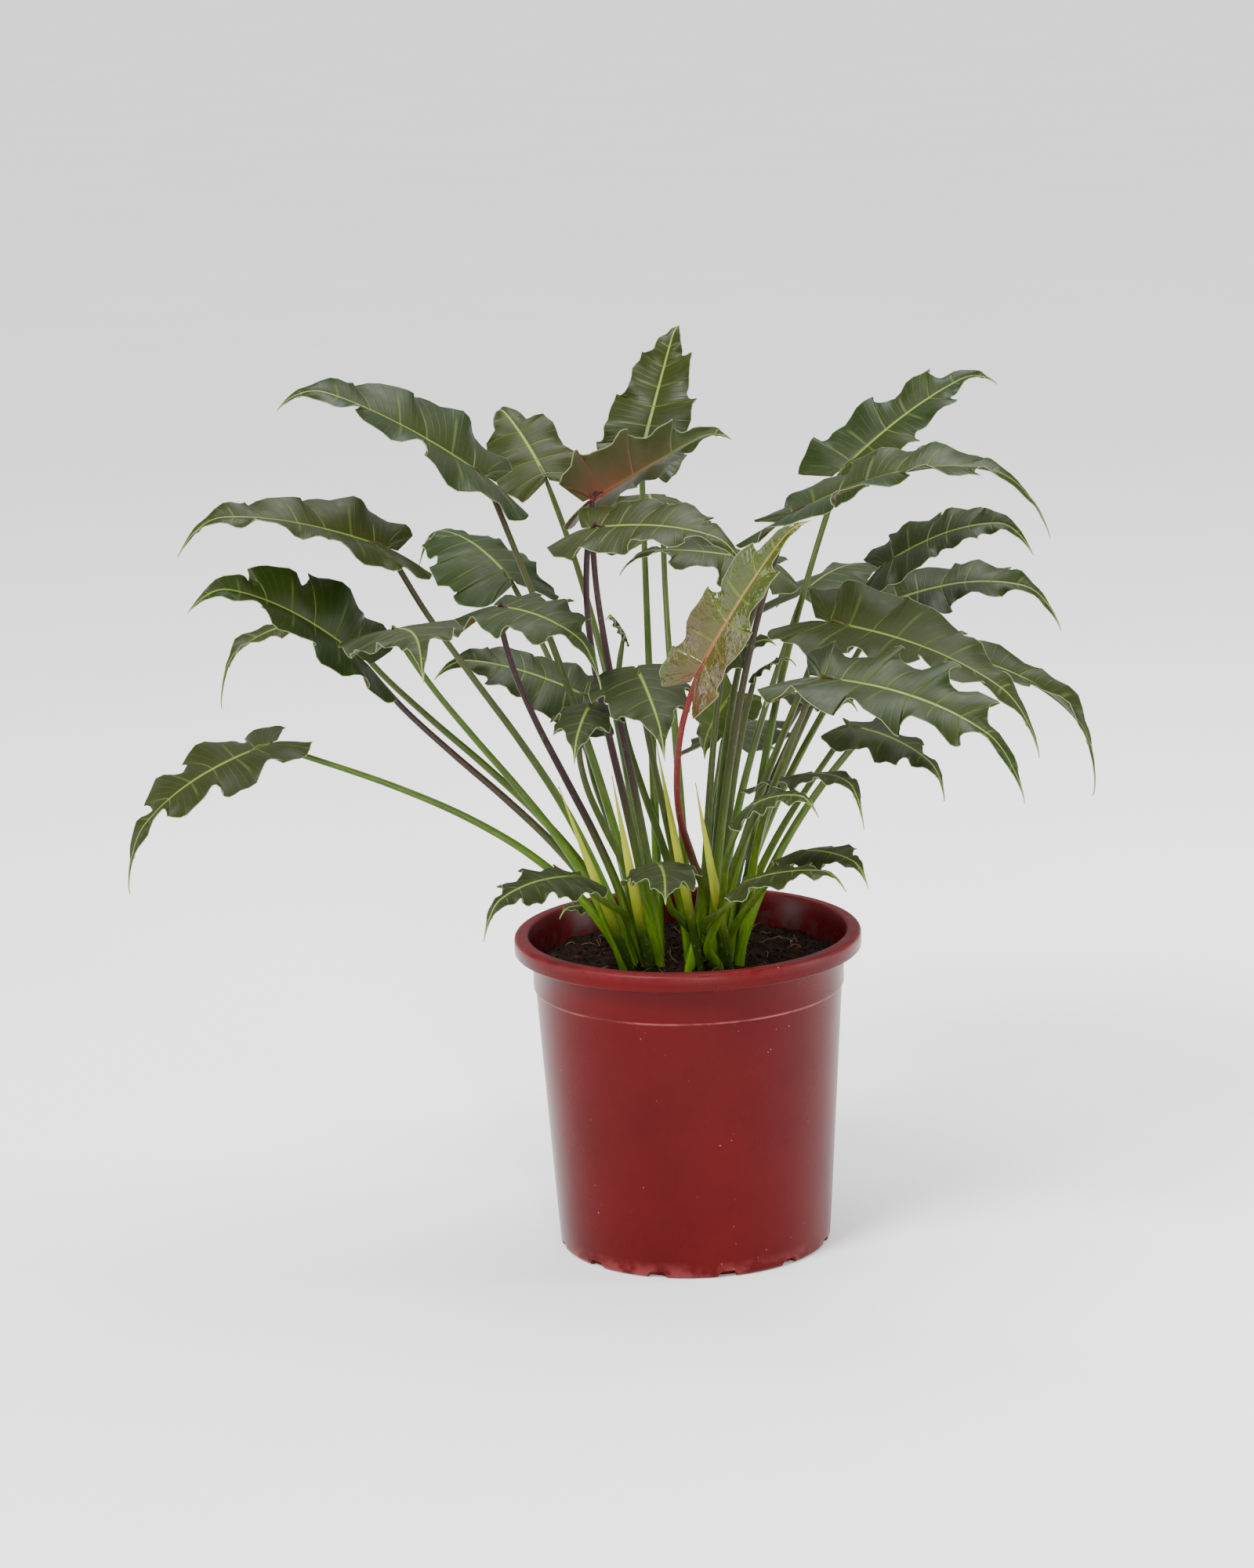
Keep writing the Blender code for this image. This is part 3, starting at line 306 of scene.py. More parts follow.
def unit(vector):
    return vector / norm(vector)


def arch_share(share):
    """The arch's height along the midrib, 1 at its highest, with the tip drooping fast."""
    if share < 0:
        return share / ARCH_SCALE
    return share * max(0.0, 1 - share) ** ARCH_POWER / ARCH_SCALE


def lobe_tooth(phase):
    """A forward-pointing lobe: 0 in the notches, 1 at its tip, which lies nearer the next notch."""
    if phase < LOBE_PEAK:
        return math.sin(math.pi / 2 * phase / LOBE_PEAK)
    return (1 - (phase - LOBE_PEAK) / (1 - LOBE_PEAK)) ** TOOTH_SHARPNESS


class Blade:
    """A leaf's blade as a sheet: veins leave the midrib and end at the lobed, waved margin."""

    def __init__(self, leaf, seed):
        self.leaf = leaf
        self.attach = np.array(leaf.attach, float) * MM
        self.hook = np.array((0.0, 0.0, -min(leaf.arch, HOOK_MOST) * MM * HOOK_SHARE))
        self.tip = np.array(leaf.tip, float) * MM - self.hook * HOOK_ALLOWED
        chord = self.tip - self.attach
        self.length = norm(chord) * MIDRIB_SLACK
        self.along = unit(chord)
        face = np.array(leaf.face, float)
        self.normal = unit(face - self.along * (face @ self.along))
        self.side = np.cross(self.normal, self.along)
        self.outline = [np.array(p) for p in OUTLINE]
        draw = random.Random(seed)
        self.phase = (draw.uniform(0, 6.28), draw.uniform(0, 6.28))
        self.twist = math.radians(draw.uniform(-10, 10))
        self.wave = self.length * draw.uniform(0.018, 0.034)
        self.bow = self.length * draw.uniform(-0.05, 0.05)
        depth = draw.uniform(*LOBE_DEPTH)
        self.depths = {}
        for side in (-1, 1):
            for lobe in range(leaf.lobes + 1):
                share = lobe / leaf.lobes
                uneven = draw.uniform(0.6, 1.4)
                self.depths[side, lobe] = depth * uneven * (BASE_LOBES + (1 - BASE_LOBES) * share)

    def midrib(self, share):
        """A point of the midrib: it rises along the leaf's arch, and its tip turns down."""
        chord = self.tip - self.attach
        rise = self.leaf.arch * MM * arch_share(share)
        sway = self.bow * math.sin(math.pi * share)
        bend = max(0.0, (share - HOOK_START) / (1 - HOOK_START)) ** 2
        return self.attach + chord * share + self.normal * rise + self.side * sway + self.hook * bend

    def frame(self, share):
        ahead = unit(self.midrib(share + 0.01) - self.midrib(share - 0.01))
        turn = self.twist * share
        up = self.normal * math.cos(turn) + self.side * math.sin(turn)
        up = unit(up - ahead * (up @ ahead))
        return up, np.cross(up, ahead)

    def point(self, u, v, side):
        """A point of the sheet: u runs from the stalk's sinus to the tip, v from midrib to margin."""
        root = max(0.0, (u - FAN_END) / (1 - FAN_END)) ** FAN_EASE
        along, out = smooth_through(self.outline, u)
        out *= self.leaf.width * self.length
        cycle = u * self.leaf.lobes
        tooth = lobe_tooth(cycle % 1.0)
        fade = min(1.0, (1 - u) / TIP_FADE) * min(1.0, max(0.0, u - ROOT_ENTIRE) / ROOT_FADE)
        pull = 1 - self.depths[side, int(cycle + 0.5)] * (1 - tooth) * fade
        along += LOBE_FORWARD * (tooth - 0.5) * fade + TOOTH_REACH * tooth ** 4 * fade
        pull += (NICK * math.sin(6 * math.pi * cycle + 5 * self.phase[0])) * fade
        place = root + (along - root) * pull * v ** VEIN_CURVE
        out = out * pull * v
        along_axis = self.midrib(place)
        up, across = self.frame(place)
        fold = math.radians(self.leaf.fold)
        droop = -SIDE_DROOP * out * out / self.length
        ruffle = self.wave * v * v * fade * math.sin(math.tau * cycle + self.phase[side > 0])
        ruffle += CRIMP * v ** 4 * fade * math.sin(4.6 * math.pi * cycle + 3 * self.phase[0])
        swell = self.wave * SWELL_SHARE * v * fade
        swell *= math.sin(math.tau * u * SWELL_CYCLES + self.phase[side < 0])
        return (along_axis + across * side * out * math.cos(fold)
                + up * (out * math.sin(fold) + droop + ruffle + swell))

    def columns(self):
        """Where the lengthwise steps lie, close together by each side vein."""
        lobes = self.leaf.lobes
        body = [(lobe + phase) / lobes for lobe in range(lobes) for phase in LOBE_PHASES]
        return body + [1 - (1 - step) * (1 - body[-1]) for step in TIP_STEPS]

    def sheet(self):
        """The sheet's points, triangles, and for each point: its vein cycle, v, and distances in mm."""
        columns = self.columns()
        lobes = self.leaf.lobes
        points = []
        facts = []
        index = {}
        triangles = []
        veins = [(lobe + LOBE_PEAK) / lobes for lobe in range(lobes)]
        for side in (-1, 1):
            grid = np.array([[self.point(u, v, side) for v in VEIN_STEPS] for u in columns])
            spots = {}
            for i, u in enumerate(columns):
                nearest = min(veins, key=lambda vein: abs(vein - u))
                vein = min(range(len(columns)), key=lambda k: abs(columns[k] - nearest))
                up, _ = self.frame(u)
                for j, v in enumerate(VEIN_STEPS):
                    off_vein = norm(grid[i, j] - grid[vein, j]) / MM
                    off_rib = norm(grid[i, j] - grid[i, 0]) / MM
                    off_margin = norm(grid[i, j] - grid[i, -1]) / MM
                    if i == len(columns) - 1:
                        off_margin = 0.0
                    spot = grid[i, j].copy()
                    between = min(1.0, off_vein / QUILT_REACH_MM)
                    spot += up * QUILT * between * math.sin(math.pi * v) * (1 - v * 0.4)
                    spot -= up * GROOVE * max(0.0, 1 - off_rib / GROOVE_REACH_MM) * (1 - u)
                    key = tuple(np.round(grid[i, j], 6))
                    if key not in index:
                        index[key] = len(points)
                        points.append(spot)
                        facts.append((u * lobes, v, side * off_rib, off_vein, off_margin, u))
                    spots[i, j] = index[key]
            for i in range(len(columns) - 1):
                for j in range(len(VEIN_STEPS) - 1):
                    a, b, c, d = spots[i, j], spots[i + 1, j], spots[i + 1, j + 1], spots[i, j + 1]
                    for face in ((a, b, c), (a, c, d)):
                        if len(set(face)) == 3:
                            triangles.append(face if side > 0 else face[::-1])
        return np.array(points), triangles, np.array(facts)


def shell(points, triangles, top, bottom):
    """Closes a sheet into a thin shell, with the same triangles on both faces."""
    normals = np.zeros_like(points)
    corners = np.array(triangles)
    first, second, third = (points[corners[:, k]] for k in range(3))
    facing = np.cross(second - first, third - first)
    for k in range(3):
        np.add.at(normals, corners[:, k], facing)
    normals /= np.maximum(norm(normals, axis=1), 1e-15)[:, None]
    count = len(points)
    edges = set()
    for a, b, c in triangles:
        edges.update(((a, b), (b, c), (c, a)))
    rim = [(a, b) for a, b in sorted(edges) if (b, a) not in edges]
    upper = [tuple(face) for face in triangles]
    lower = [(a + count, c + count, b + count) for a, b, c in triangles]
    band = [(b, a, a + count, b + count) for a, b in rim]
    skin = np.concatenate([points + normals * top, points - normals * np.reshape(bottom, (-1, 1))])
    return skin, upper, lower, band


def tube(path, radii, sides):
    """Rings round a path that don't twist, with closed ends."""
    points = []
    faces = []
    first = np.array((1.0, 0.0, 0.0))
    for i, (spot, radius) in enumerate(zip(path, radii)):
        ahead = unit(path[min(i + 1, len(path) - 1)] - path[max(i - 1, 0)])
        first = unit(first - ahead * (first @ ahead))
        second = np.cross(ahead, first)
        for k in range(sides):
            angle = math.tau * k / sides
            points.append(spot + (first * math.cos(angle) + second * math.sin(angle)) * radius)
    for i in range(len(path) - 1):
        for k in range(sides):
            j = (k + 1) % sides
            faces.append((i * sides + k, i * sides + j, (i + 1) * sides + j, (i + 1) * sides + k))
    last = (len(path) - 1) * sides
    faces.append(tuple(reversed(range(sides))))
    faces.append(tuple(range(last, last + sides)))
    return points, faces


def link(thing):
    bpy.context.scene.collection.objects.link(thing)
    return thing


def new_piece(name, points, faces, finishes, slots=None, smooth=True):
    mesh = bpy.data.meshes.new(name)
    mesh.from_pydata([tuple(p) for p in points], [], faces)
    for finish in finishes:
        mesh.materials.append(finish)
    if slots is not None:
        mesh.polygons.foreach_set("material_index", slots)
    if smooth:
        mesh.shade_smooth()
    return link(bpy.data.objects.new(name, mesh))


def own(thing, slot, *nodes):
    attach(thing, "root")
    if nodes:
        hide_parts(*nodes)


def put(piece, name, values):
    """Keeps a number or a vector on each point of a piece, for its finish."""
    values = np.asarray(values, np.float32)
    vectors = values.ndim == 2
    layer = piece.data.attributes.new(name, "FLOAT_VECTOR" if vectors else "FLOAT", "POINT")
    layer.data.foreach_set("vector" if vectors else "value", values.ravel())


# Shading


class Shade:
    """Builds one material, node by node."""

    def __init__(self, name):
        self.material = bpy.data.materials.new(name)
        self.material.use_nodes = True
        self.tree = self.material.node_tree
        self.shader = self.tree.nodes["Principled BSDF"]
        self.colour = None

    def node(self, kind, inputs=None, **settings):
        made = self.tree.nodes.new(kind)
        for key, value in settings.items():
            setattr(made, key, value)
        for key, value in (inputs or {}).items():
            self.feed(made.inputs[key], value)
        return made

    def feed(self, socket, value):
        if isinstance(value, bpy.types.NodeSocket):
            self.tree.links.new(value, socket)
        elif isinstance(value, tuple):
            socket.default_value = (*value, 1.0)
        else:
            socket.default_value = value

    def attribute(self, name, output="Fac"):
        return self.node("ShaderNodeAttribute", attribute_name=name).outputs[output]

    def split(self, vector):
        return self.node("ShaderNodeSeparateXYZ", {0: vector}).outputs

    def join(self, x, y, z):
        return self.node("ShaderNodeCombineXYZ", {0: x, 1: y, 2: z}).outputs[0]

    def place(self):
        return self.node("ShaderNodeTexCoord").outputs["Object"]

    def math(self, kind, a, b=0.0, clamp=False):
        return self.node("ShaderNodeMath", {0: a, 1: b}, operation=kind, use_clamp=clamp).outputs[0]

    def times(self, a, b, clamp=False):
        return self.math("MULTIPLY", a, b, clamp)

    def plus(self, a, b):
        return self.math("ADD", a, b)

    def near(self, distance, width):
        """1 on a line, falling to 0 at a width from it."""
        return self.math("SUBTRACT", 1.0, self.math("DIVIDE", distance, width), clamp=True)

    def span(self, value, low, high, to_low=0.0, to_high=1.0):
        made = self.node("ShaderNodeMapRange", {0: value, 1: low, 2: high, 3: to_low, 4: to_high})
        return made.outputs[0]

    def noise(self, scale, detail, vector=None, rough=0.5):
        inputs = {"Scale": scale, "Detail": detail, "Roughness": rough}
        inputs["Vector"] = self.place() if vector is None else vector
        return self.node("ShaderNodeTexNoise", inputs).outputs["Fac"]

    def cells(self, scale):
        inputs = {"Scale": scale, "Vector": self.place(), "Randomness": 1.0}
        return self.node("ShaderNodeTexVoronoi", inputs).outputs["Distance"]

    def mix(self, share, a, b):
        made = self.node("ShaderNodeMix", data_type="RGBA")
        self.feed(made.inputs[0], share)
        self.feed(made.inputs[6], a)
        self.feed(made.inputs[7], b)
        return made.outputs[2]

    def over(self, share, colour):
        self.colour = self.mix(share, self.colour, colour)

    def bump(self, height, strength, distance, base=None):
        inputs = {"Height": height, "Strength": strength, "Distance": distance}
        if base is not None:
            inputs["Normal"] = base
        return self.node("ShaderNodeBump", inputs).outputs[0]

    def finish(self, rough, specular, normal=None):
        for name, value in (("Base Color", self.colour), ("Roughness", rough),
                            ("Specular IOR Level", specular), ("Normal", normal)):
            if value is not None:
                self.feed(self.shader.inputs[name], value)
        return self.material


def leaf_top(kind):
    """The upper face: olive or greyish green, pale veins, thin pale margin."""
    s = Shade(kind + "_upper")
    young = kind == "young"
    cycle, v, out = s.split(s.attribute("leaf", "Vector"))
    off_vein, off_margin, u = s.split(s.attribute("veins", "Vector"))
    grey = s.attribute("grey")
    tint = s.attribute("tint")
    large = s.noise(16.0, 2.0)
    fine = s.noise(160.0, 4.0)
    s.colour = s.mix(s.span(large, 0.35, 0.65), LEAF_DARK, LEAF_FRESH)
    s.over(s.times(tint, 0.7), LEAF_OLIVE)
    s.over(s.times(grey, 0.75), LEAF_GREY)
    if young:
        s.over(0.9, YOUNG_TOP)
    if kind == "lit":
        s.over(0.8, LEAF_LIT)
    between = s.times(s.span(off_vein, 1.0, 8.0), s.span(v, 0.15, 0.5))
    s.over(s.times(between, 0.40), s.mix(0.6, s.colour, LEAF_BETWEEN_VEINS))
    pale = YOUNG_VEIN if young else VEIN
    side_vein = s.near(off_vein, s.span(v, 0.0, 1.0, 0.75, 0.30))
    side_vein = s.times(side_vein, s.span(v, 0.75, 1.0, 1.0, 0.1))
    second = s.math("PINGPONG", s.plus(cycle, 0.8), 0.5)
    second = s.times(s.span(second, 0.0, 0.035, 1.0, 0.0), s.span(v, 0.6, 0.85, 1.0, 0.0))
    fine_vein = s.math("PINGPONG", s.times(cycle, 9.0), 0.5)
    fine_vein = s.times(s.span(fine_vein, 0.0, 0.10, 1.0, 0.0), s.span(v, 0.05, 0.2))
    s.over(s.times(fine_vein, 0.07), pale)
    s.over(s.times(second, 0.30), pale)
    s.over(s.times(side_vein, 0.75), pale)
    rib = s.near(s.math("ABSOLUTE", out), s.span(u, 0.0, 1.0, 2.1, 0.7))
    rib = s.math("POWER", rib, 0.6)
    rib_colour = s.mix(s.span(u, 0.15, 0.5), pale, MIDRIB)
    if young:
        rib_colour = s.mix(s.span(u, 0.3, 0.8), *YOUNG_MIDRIBS)
        red = s.span(u, 0.15, 0.60, 0.95, 0.0)
        s.over(s.times(red, s.span(large, 0.35, 0.6)), YOUNG_RED)
    s.over(s.times(rib, 0.95), rib_colour)
    edge = s.span(off_margin, 0.10, 0.55, 1.0, 0.0)
    s.over(s.times(edge, 0.85), LEAF_EDGE)
    s.over(s.span(fine, 0.55, 0.85, 0.0, 0.16), LEAF_MOTTLE)
    s.over(s.span(s.cells(700.0), 0.0, 0.14, 0.25, 0.0), LEAF_SPECK)
    rough = s.plus(s.span(fine, 0.3, 0.7, 0.33, 0.45), s.times(grey, 0.14))
    normal = s.bump(s.plus(fine_vein, s.times(fine, 0.7)), 0.20, 0.0006)
    if young:
        normal = s.bump(s.noise(70.0, 3.0, rough=0.6), 0.9, 0.004, normal)
    ridge = s.plus(s.times(side_vein, -1.0), s.times(rib, 0.8))
    normal = s.bump(s.math("SUBTRACT", ridge, s.times(second, 0.5)), 0.6, 0.0010, normal)
    return s.finish(s.times(rough, 0.6 if young else 1.0), 0.45 if young else 0.15, normal)


def leaf_under(kind):
    """The underside: paler, matt, with standing veins, reddish along the midrib near the stalk."""
    s = Shade(kind + "_under")
    _, v, out = s.split(s.attribute("leaf", "Vector"))
    off_vein, off_margin, u = s.split(s.attribute("veins", "Vector"))
    warm = s.attribute("warm")
    large = s.noise(18.0, 2.0)
    fine = s.noise(220.0, 3.0)
    s.colour = s.mix(s.span(large, 0.35, 0.65), *UNDERS)
    if kind == "young":
        s.over(0.8, YOUNG_UNDER)
    if kind == "lit":
        s.over(0.8, LEAF_LIT)
    side_vein = s.near(off_vein, 0.8)
    rib = s.near(s.math("ABSOLUTE", out), s.span(u, 0.0, 1.0, 2.2, 0.5))
    red = s.times(s.span(u, 0.25, 0.85, 1.0, 0.0), s.times(warm, 0.55), clamp=True)
    veins = s.math("MAXIMUM", rib, s.times(side_vein, 0.8))
    vein_colour = s.mix(red, UNDER_VEIN, UNDER_RED_VEIN)
    s.over(s.times(red, s.span(v, 0.1, 0.7, 0.60, 0.15)), UNDER_BLUSH)
    s.over(s.times(veins, 0.85), vein_colour)
    edge = s.span(off_margin, 0.10, 0.55, 1.0, 0.0)
    s.over(s.times(edge, 0.65), UNDER_EDGE)
    s.over(s.span(fine, 0.5, 0.8, 0.0, 0.2), UNDER_MOTTLE)
    normal = s.bump(s.plus(veins, s.times(fine, 0.3)), 0.4, 0.0008)
    return s.finish(s.span(fine, 0.3, 0.7, 0.45, 0.58), 0.16, normal)


def stalk_finish():
    """Bright green at the base, then green, brown, purple or red by the leaf's own warmth."""
    s = Shade("stalk")
    climb = s.attribute("climb")
    warm = s.attribute("warm")
    streak = s.noise(9.0, 3.0, s.join(s.times(climb, 3.0), s.attribute("round"), warm))
    fine = s.noise(300.0, 2.0)
    base = s.mix(s.span(streak, 0.35, 0.65), *STALK_BASES)
    middle = s.mix(s.span(streak, 0.35, 0.65), *STALK_MIDDLES)
    s.colour = s.mix(s.span(climb, 0.08, 0.50), base, middle)
    s.over(s.times(s.span(climb, 0.2, 0.9), s.times(warm, 0.8), clamp=True), STALK_BROWN)
    s.over(s.times(s.span(climb, 0.12, 0.5), s.math("SUBTRACT", warm, 1.0, clamp=True)), STALK_PURPLE)
    s.over(s.times(s.span(climb, 0.3, 0.7), s.math("SUBTRACT", warm, 2.0, clamp=True)), STALK_RED)
    s.over(s.span(climb, 0.0, 0.05, 0.5, 0.0), STALK_HUSK)
    s.over(s.span(fine, 0.60, 0.75, 0.0, 0.30), STALK_FLECK)
    normal = s.bump(s.plus(streak, s.times(fine, 0.4)), 0.25, 0.0006)
    return s.finish(s.span(fine, 0.3, 0.7, 0.36, 0.50), 0.22, normal)


def pot_finish():
    """Dark red plastic: duller and paler on the rim, fine moulding lines, specks and scuffs."""
    s = Shade("pot_red")
    x, y, z = s.split(s.place())
    cloud = s.noise(9.0, 4.0)
    fine = s.noise(420.0, 3.0)
    s.colour = s.mix(s.span(cloud, 0.3, 0.7), *POT_REDS)
    rim = s.span(z, POT_HEIGHT - 0.007, POT_HEIGHT - 0.0015)
    wear = s.times(rim, s.span(s.noise(60.0, 5.0, rough=0.65), 0.30, 0.65, 0.15, 0.85))
    s.over(wear, POT_WEAR)
    s.over(s.span(s.noise(26.0, 5.0, rough=0.7), 0.36, 0.84, 0.0, 0.40), POT_DUST)
    speck = s.times(s.span(s.cells(130.0), 0.0, 0.075, 1.0, 0.0), s.span(s.noise(30.0, 2.0), 0.50, 0.58))
    s.over(s.times(speck, 0.75), POT_SPECK)
    line = s.times(s.span(z, STEP_HEIGHT - 0.0012, STEP_HEIGHT - 0.0004),
                   s.span(z, STEP_HEIGHT + 0.0010, STEP_HEIGHT + 0.0002))
    line = s.times(line, s.span(s.noise(35.0, 4.0, rough=0.7), 0.40, 0.58, 0.10, 0.70))
    s.over(line, POT_LINE)
    scuff_zone = s.times(s.span(z, 0.020, 0.035), s.span(z, 0.10, 0.085))
    scuff_zone = s.times(s.span(x, 0.075, 0.092), scuff_zone)
    scuff = s.times(scuff_zone, s.span(s.noise(240.0, 3.0), 0.55, 0.60))
    s.over(s.times(scuff, 0.6), POT_SCUFF)
    foot = s.times(s.span(z, 0.012, 0.0, 0.0, 1.0), s.span(s.noise(90.0, 4.0), 0.4, 0.6))
    s.over(s.times(foot, 0.6), POT_FOOT)
    off_axis = s.math("SQRT", s.plus(s.times(x, x), s.times(y, y)))
    inside = s.span(off_axis, INSIDE_RADIUS + 0.0004, INSIDE_RADIUS + 0.0010, 1.0, 0.0)
    soiled = s.times(s.times(inside, s.span(z, 0.195, 0.199)), s.span(s.noise(150.0, 4.0), 0.45, 0.62))
    s.over(s.times(soiled, 0.7), POT_SOILED)
    rings = s.math("SINE", s.times(z, 2200.0))
    relief = s.plus(s.times(fine, 0.5), s.times(rings, 0.05))
    normal = s.bump(relief, 0.07, 0.0006)
    normal = s.bump(s.noise(22.0, 3.0), 0.10, 0.002, normal)
    rough = s.plus(s.span(cloud, 0.3, 0.7, 0.24, 0.32), s.times(wear, 0.25))
    return s.finish(rough, 0.12, normal)


def earth_finish(name, dark, light, scale):
    """Coarse and fine grain between two browns, with paler grains."""
    s = Shade(name)
    coarse = s.noise(scale, 6.0, rough=0.7)
    fine = s.noise(scale * 6, 4.0)
    s.colour = s.mix(s.span(coarse, 0.35, 0.65), dark, light)
    s.over(s.span(fine, 0.62, 0.75, 0.0, 0.5), EARTH_GRAIN)
    normal = s.bump(s.plus(coarse, fine), 0.8, 0.002)
    return s.finish(s.span(fine, 0.3, 0.7, 0.78, 0.95), 0.10, normal)


def sheath_finish():
    """Yellow-green, straw at the tips, with fine lengthwise streaks."""
    s = Shade("sheath")
    climb = s.attribute("climb")
    across = s.times(s.attribute("round"), 9.0)
    streak = s.noise(3.0, 3.0, s.join(across, climb, s.attribute("warm")))
    fine = s.noise(260.0, 2.0)
    s.colour = s.mix(s.span(climb, 0.25, 0.65), *SHEATH_GREENS)
    s.over(s.times(s.span(streak, 0.4, 0.65, 0.0, 0.7), s.span(climb, 0.3, 0.6)), SHEATH_RIPE)
    s.over(s.span(climb, 0.86, 1.0, 0.0, 0.8), SHEATH_TIP)
    s.over(s.span(fine, 0.58, 0.72, 0.0, 0.3), SHEATH_FLECK)
    normal = s.bump(s.plus(streak, s.times(fine, 0.3)), 0.35, 0.0008)
    return s.finish(s.span(fine, 0.3, 0.7, 0.42, 0.56), 0.20, normal)


# Pieces


def stalk_line(node, blade):
    """The stalk's centre line, from the rings of the solid that it dresses, ring by ring from the foot."""
    shape = bmesh.new()
    shape.from_mesh(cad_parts[node].data)
    bmesh.ops.remove_doubles(shape, verts=shape.verts, dist=1e-6)
    lowest = min(vertex.co.z for vertex in shape.verts)
    ring = [vertex for vertex in shape.verts if vertex.co.z < lowest + 1e-5]
    seen = set(ring)
    line = []
    while len(ring) == CAD_STALK_SIDES:
        line.append(np.mean([vertex.co[:] for vertex in ring], axis=0))
        ahead = {edge.other_vert(vertex) for vertex in ring for edge in vertex.link_edges} - seen
        ring = sorted(ahead, key=lambda vertex: vertex.index)
        if len(ring) > CAD_STALK_SIDES:
            closed = [vertex for vertex in ring
                      if sum(edge.other_vert(vertex) in ahead for edge in vertex.link_edges) > 1]
            ring = closed if len(closed) == CAD_STALK_SIDES else ring
        seen.update(ring)
    shape.free()
    while len(line) > 3 and norm(line[-1] - blade.attach) < 0.008:
        line.pop()
    up, _ = blade.frame(0.0)
    sink = up * (STALK_TOP_RADIUS * 0.5)
    line += [blade.attach - sink, blade.midrib(STALK_RUN) - sink * 0.5]
    return np.array(line)


def along_line(line, steps):
    """Evenly spaced points of a smooth curve through a row of points."""
    dense = np.array([smooth_through(list(line), t) for t in np.linspace(0, 1, 12 * len(line))])
    lengths = np.concatenate([[0], np.cumsum(norm(np.diff(dense, axis=0), axis=1))])
    wanted = np.linspace(0, lengths[-1], steps)
    return np.stack([np.interp(wanted, lengths, dense[:, k]) for k in range(3)], axis=1)


def dress_leaf(number, leaf, finishes):
    """One leaf: a thin shell for its blade, ribbed below, and a round stalk on the solid's centre line."""
    blade = Blade(leaf, FIRST_SEED + number)
    node = "leaf_" + leaf.name
    points, triangles, facts = blade.sheet()
    root = np.maximum(0.0, (facts[:, 5] - FAN_END) / (1 - FAN_END))
    rib = np.maximum(0.0, 1 - np.abs(facts[:, 2]) / (RIB_HALF_WIDTH / MM)) * RIB_HEIGHT * (1 - root) ** RIB_FADE
    vein = np.maximum(0.0, 1 - facts[:, 3]) * VEIN_HEIGHT * (facts[:, 1] < 0.9)
    thin = MARGIN_THICKNESS + (1 - MARGIN_THICKNESS) * np.minimum(1.0, facts[:, 4] / MARGIN_MM)
    skin, upper, lower, band = shell(points, triangles, BLADE_THICKNESS / 4,
                                     BLADE_THICKNESS * 0.75 * thin + rib + vein)
    path = along_line(stalk_line(node, blade), STALK_STEPS)
    shares = np.linspace(0, 1, STALK_STEPS)
    radii = STALK_BASE_RADIUS + (STALK_TOP_RADIUS - STALK_BASE_RADIUS) * np.minimum(1, shares * 1.25) ** 0.8
    radii[-len(STALK_END):] *= STALK_END
    stem_points, stem_faces = tube(path, radii, STALK_SIDES)
    faces = upper + lower + band + shifted(stem_faces, len(skin))
    slots = [0] * len(upper) + [1] * (len(lower) + len(band)) + [2] * len(stem_faces)
    everything = np.concatenate([skin, stem_points])
    piece = new_piece("fine_" + leaf.name, everything, faces, finishes, slots)
    ring = np.repeat(shares, STALK_SIDES)
    turn = np.tile(np.arange(STALK_SIDES) / STALK_SIDES, STALK_STEPS)
    facts = np.concatenate([facts, facts, np.tile(STALK_FACTS, (len(stem_points), 1))])
    tint = random.Random(TINT_SEED + number).uniform(0.0, 1.0)
    put(piece, "leaf", facts[:, :3])
    put(piece, "veins", facts[:, 3:])
    put(piece, "climb", np.concatenate([np.ones(len(skin)), ring]))
    put(piece, "round", np.concatenate([np.zeros(len(skin)), turn]))
    for name, value in (("warm", leaf.warm), ("grey", leaf.grey), ("tint", tint)):
        put(piece, name, np.full(len(everything), value))
    own(piece, "leaf_green", node)


def polar(radius, angle):
    return radius * math.cos(angle), radius * math.sin(angle)


def shifted(faces, start):
    return [tuple(i + start for i in face) for face in faces]


def turned(name, profile, sides, finish):
    """A closed form of radius and height pairs turned round the upright axis."""
    points = []
    faces = []
    rows = []
    for radius, height in profile:
        if radius == 0:
            rows.append([len(points)] * sides)
            points.append((0, 0, height))
            continue
        rows.append(list(range(len(points), len(points) + sides)))
        for i in range(sides):
            points.append((*polar(radius, math.tau * i / sides), height))
    for lower, upper in zip(rows, rows[1:]):
        for i in range(sides):
            j = (i + 1) % sides
            faces.append(list(dict.fromkeys((lower[i], lower[j], upper[j], upper[i]))))
    return new_piece(name, points, faces, [finish])


def pot_outside(height):
    return FOOT_RADIUS + (COLLAR_RADIUS - COLLAR_STEP - FOOT_RADIUS) * height / STEP_HEIGHT


def rounded(middle_r, middle_z, radius, start, end, steps):
    """Points of an arc in the turned outline, angles in degrees."""
    arc = []
    for i in range(steps + 1):
        angle = math.radians(start + (end - start) * i / steps)
        arc.append((middle_r + radius * math.cos(angle), middle_z + radius * math.sin(angle)))
    return arc


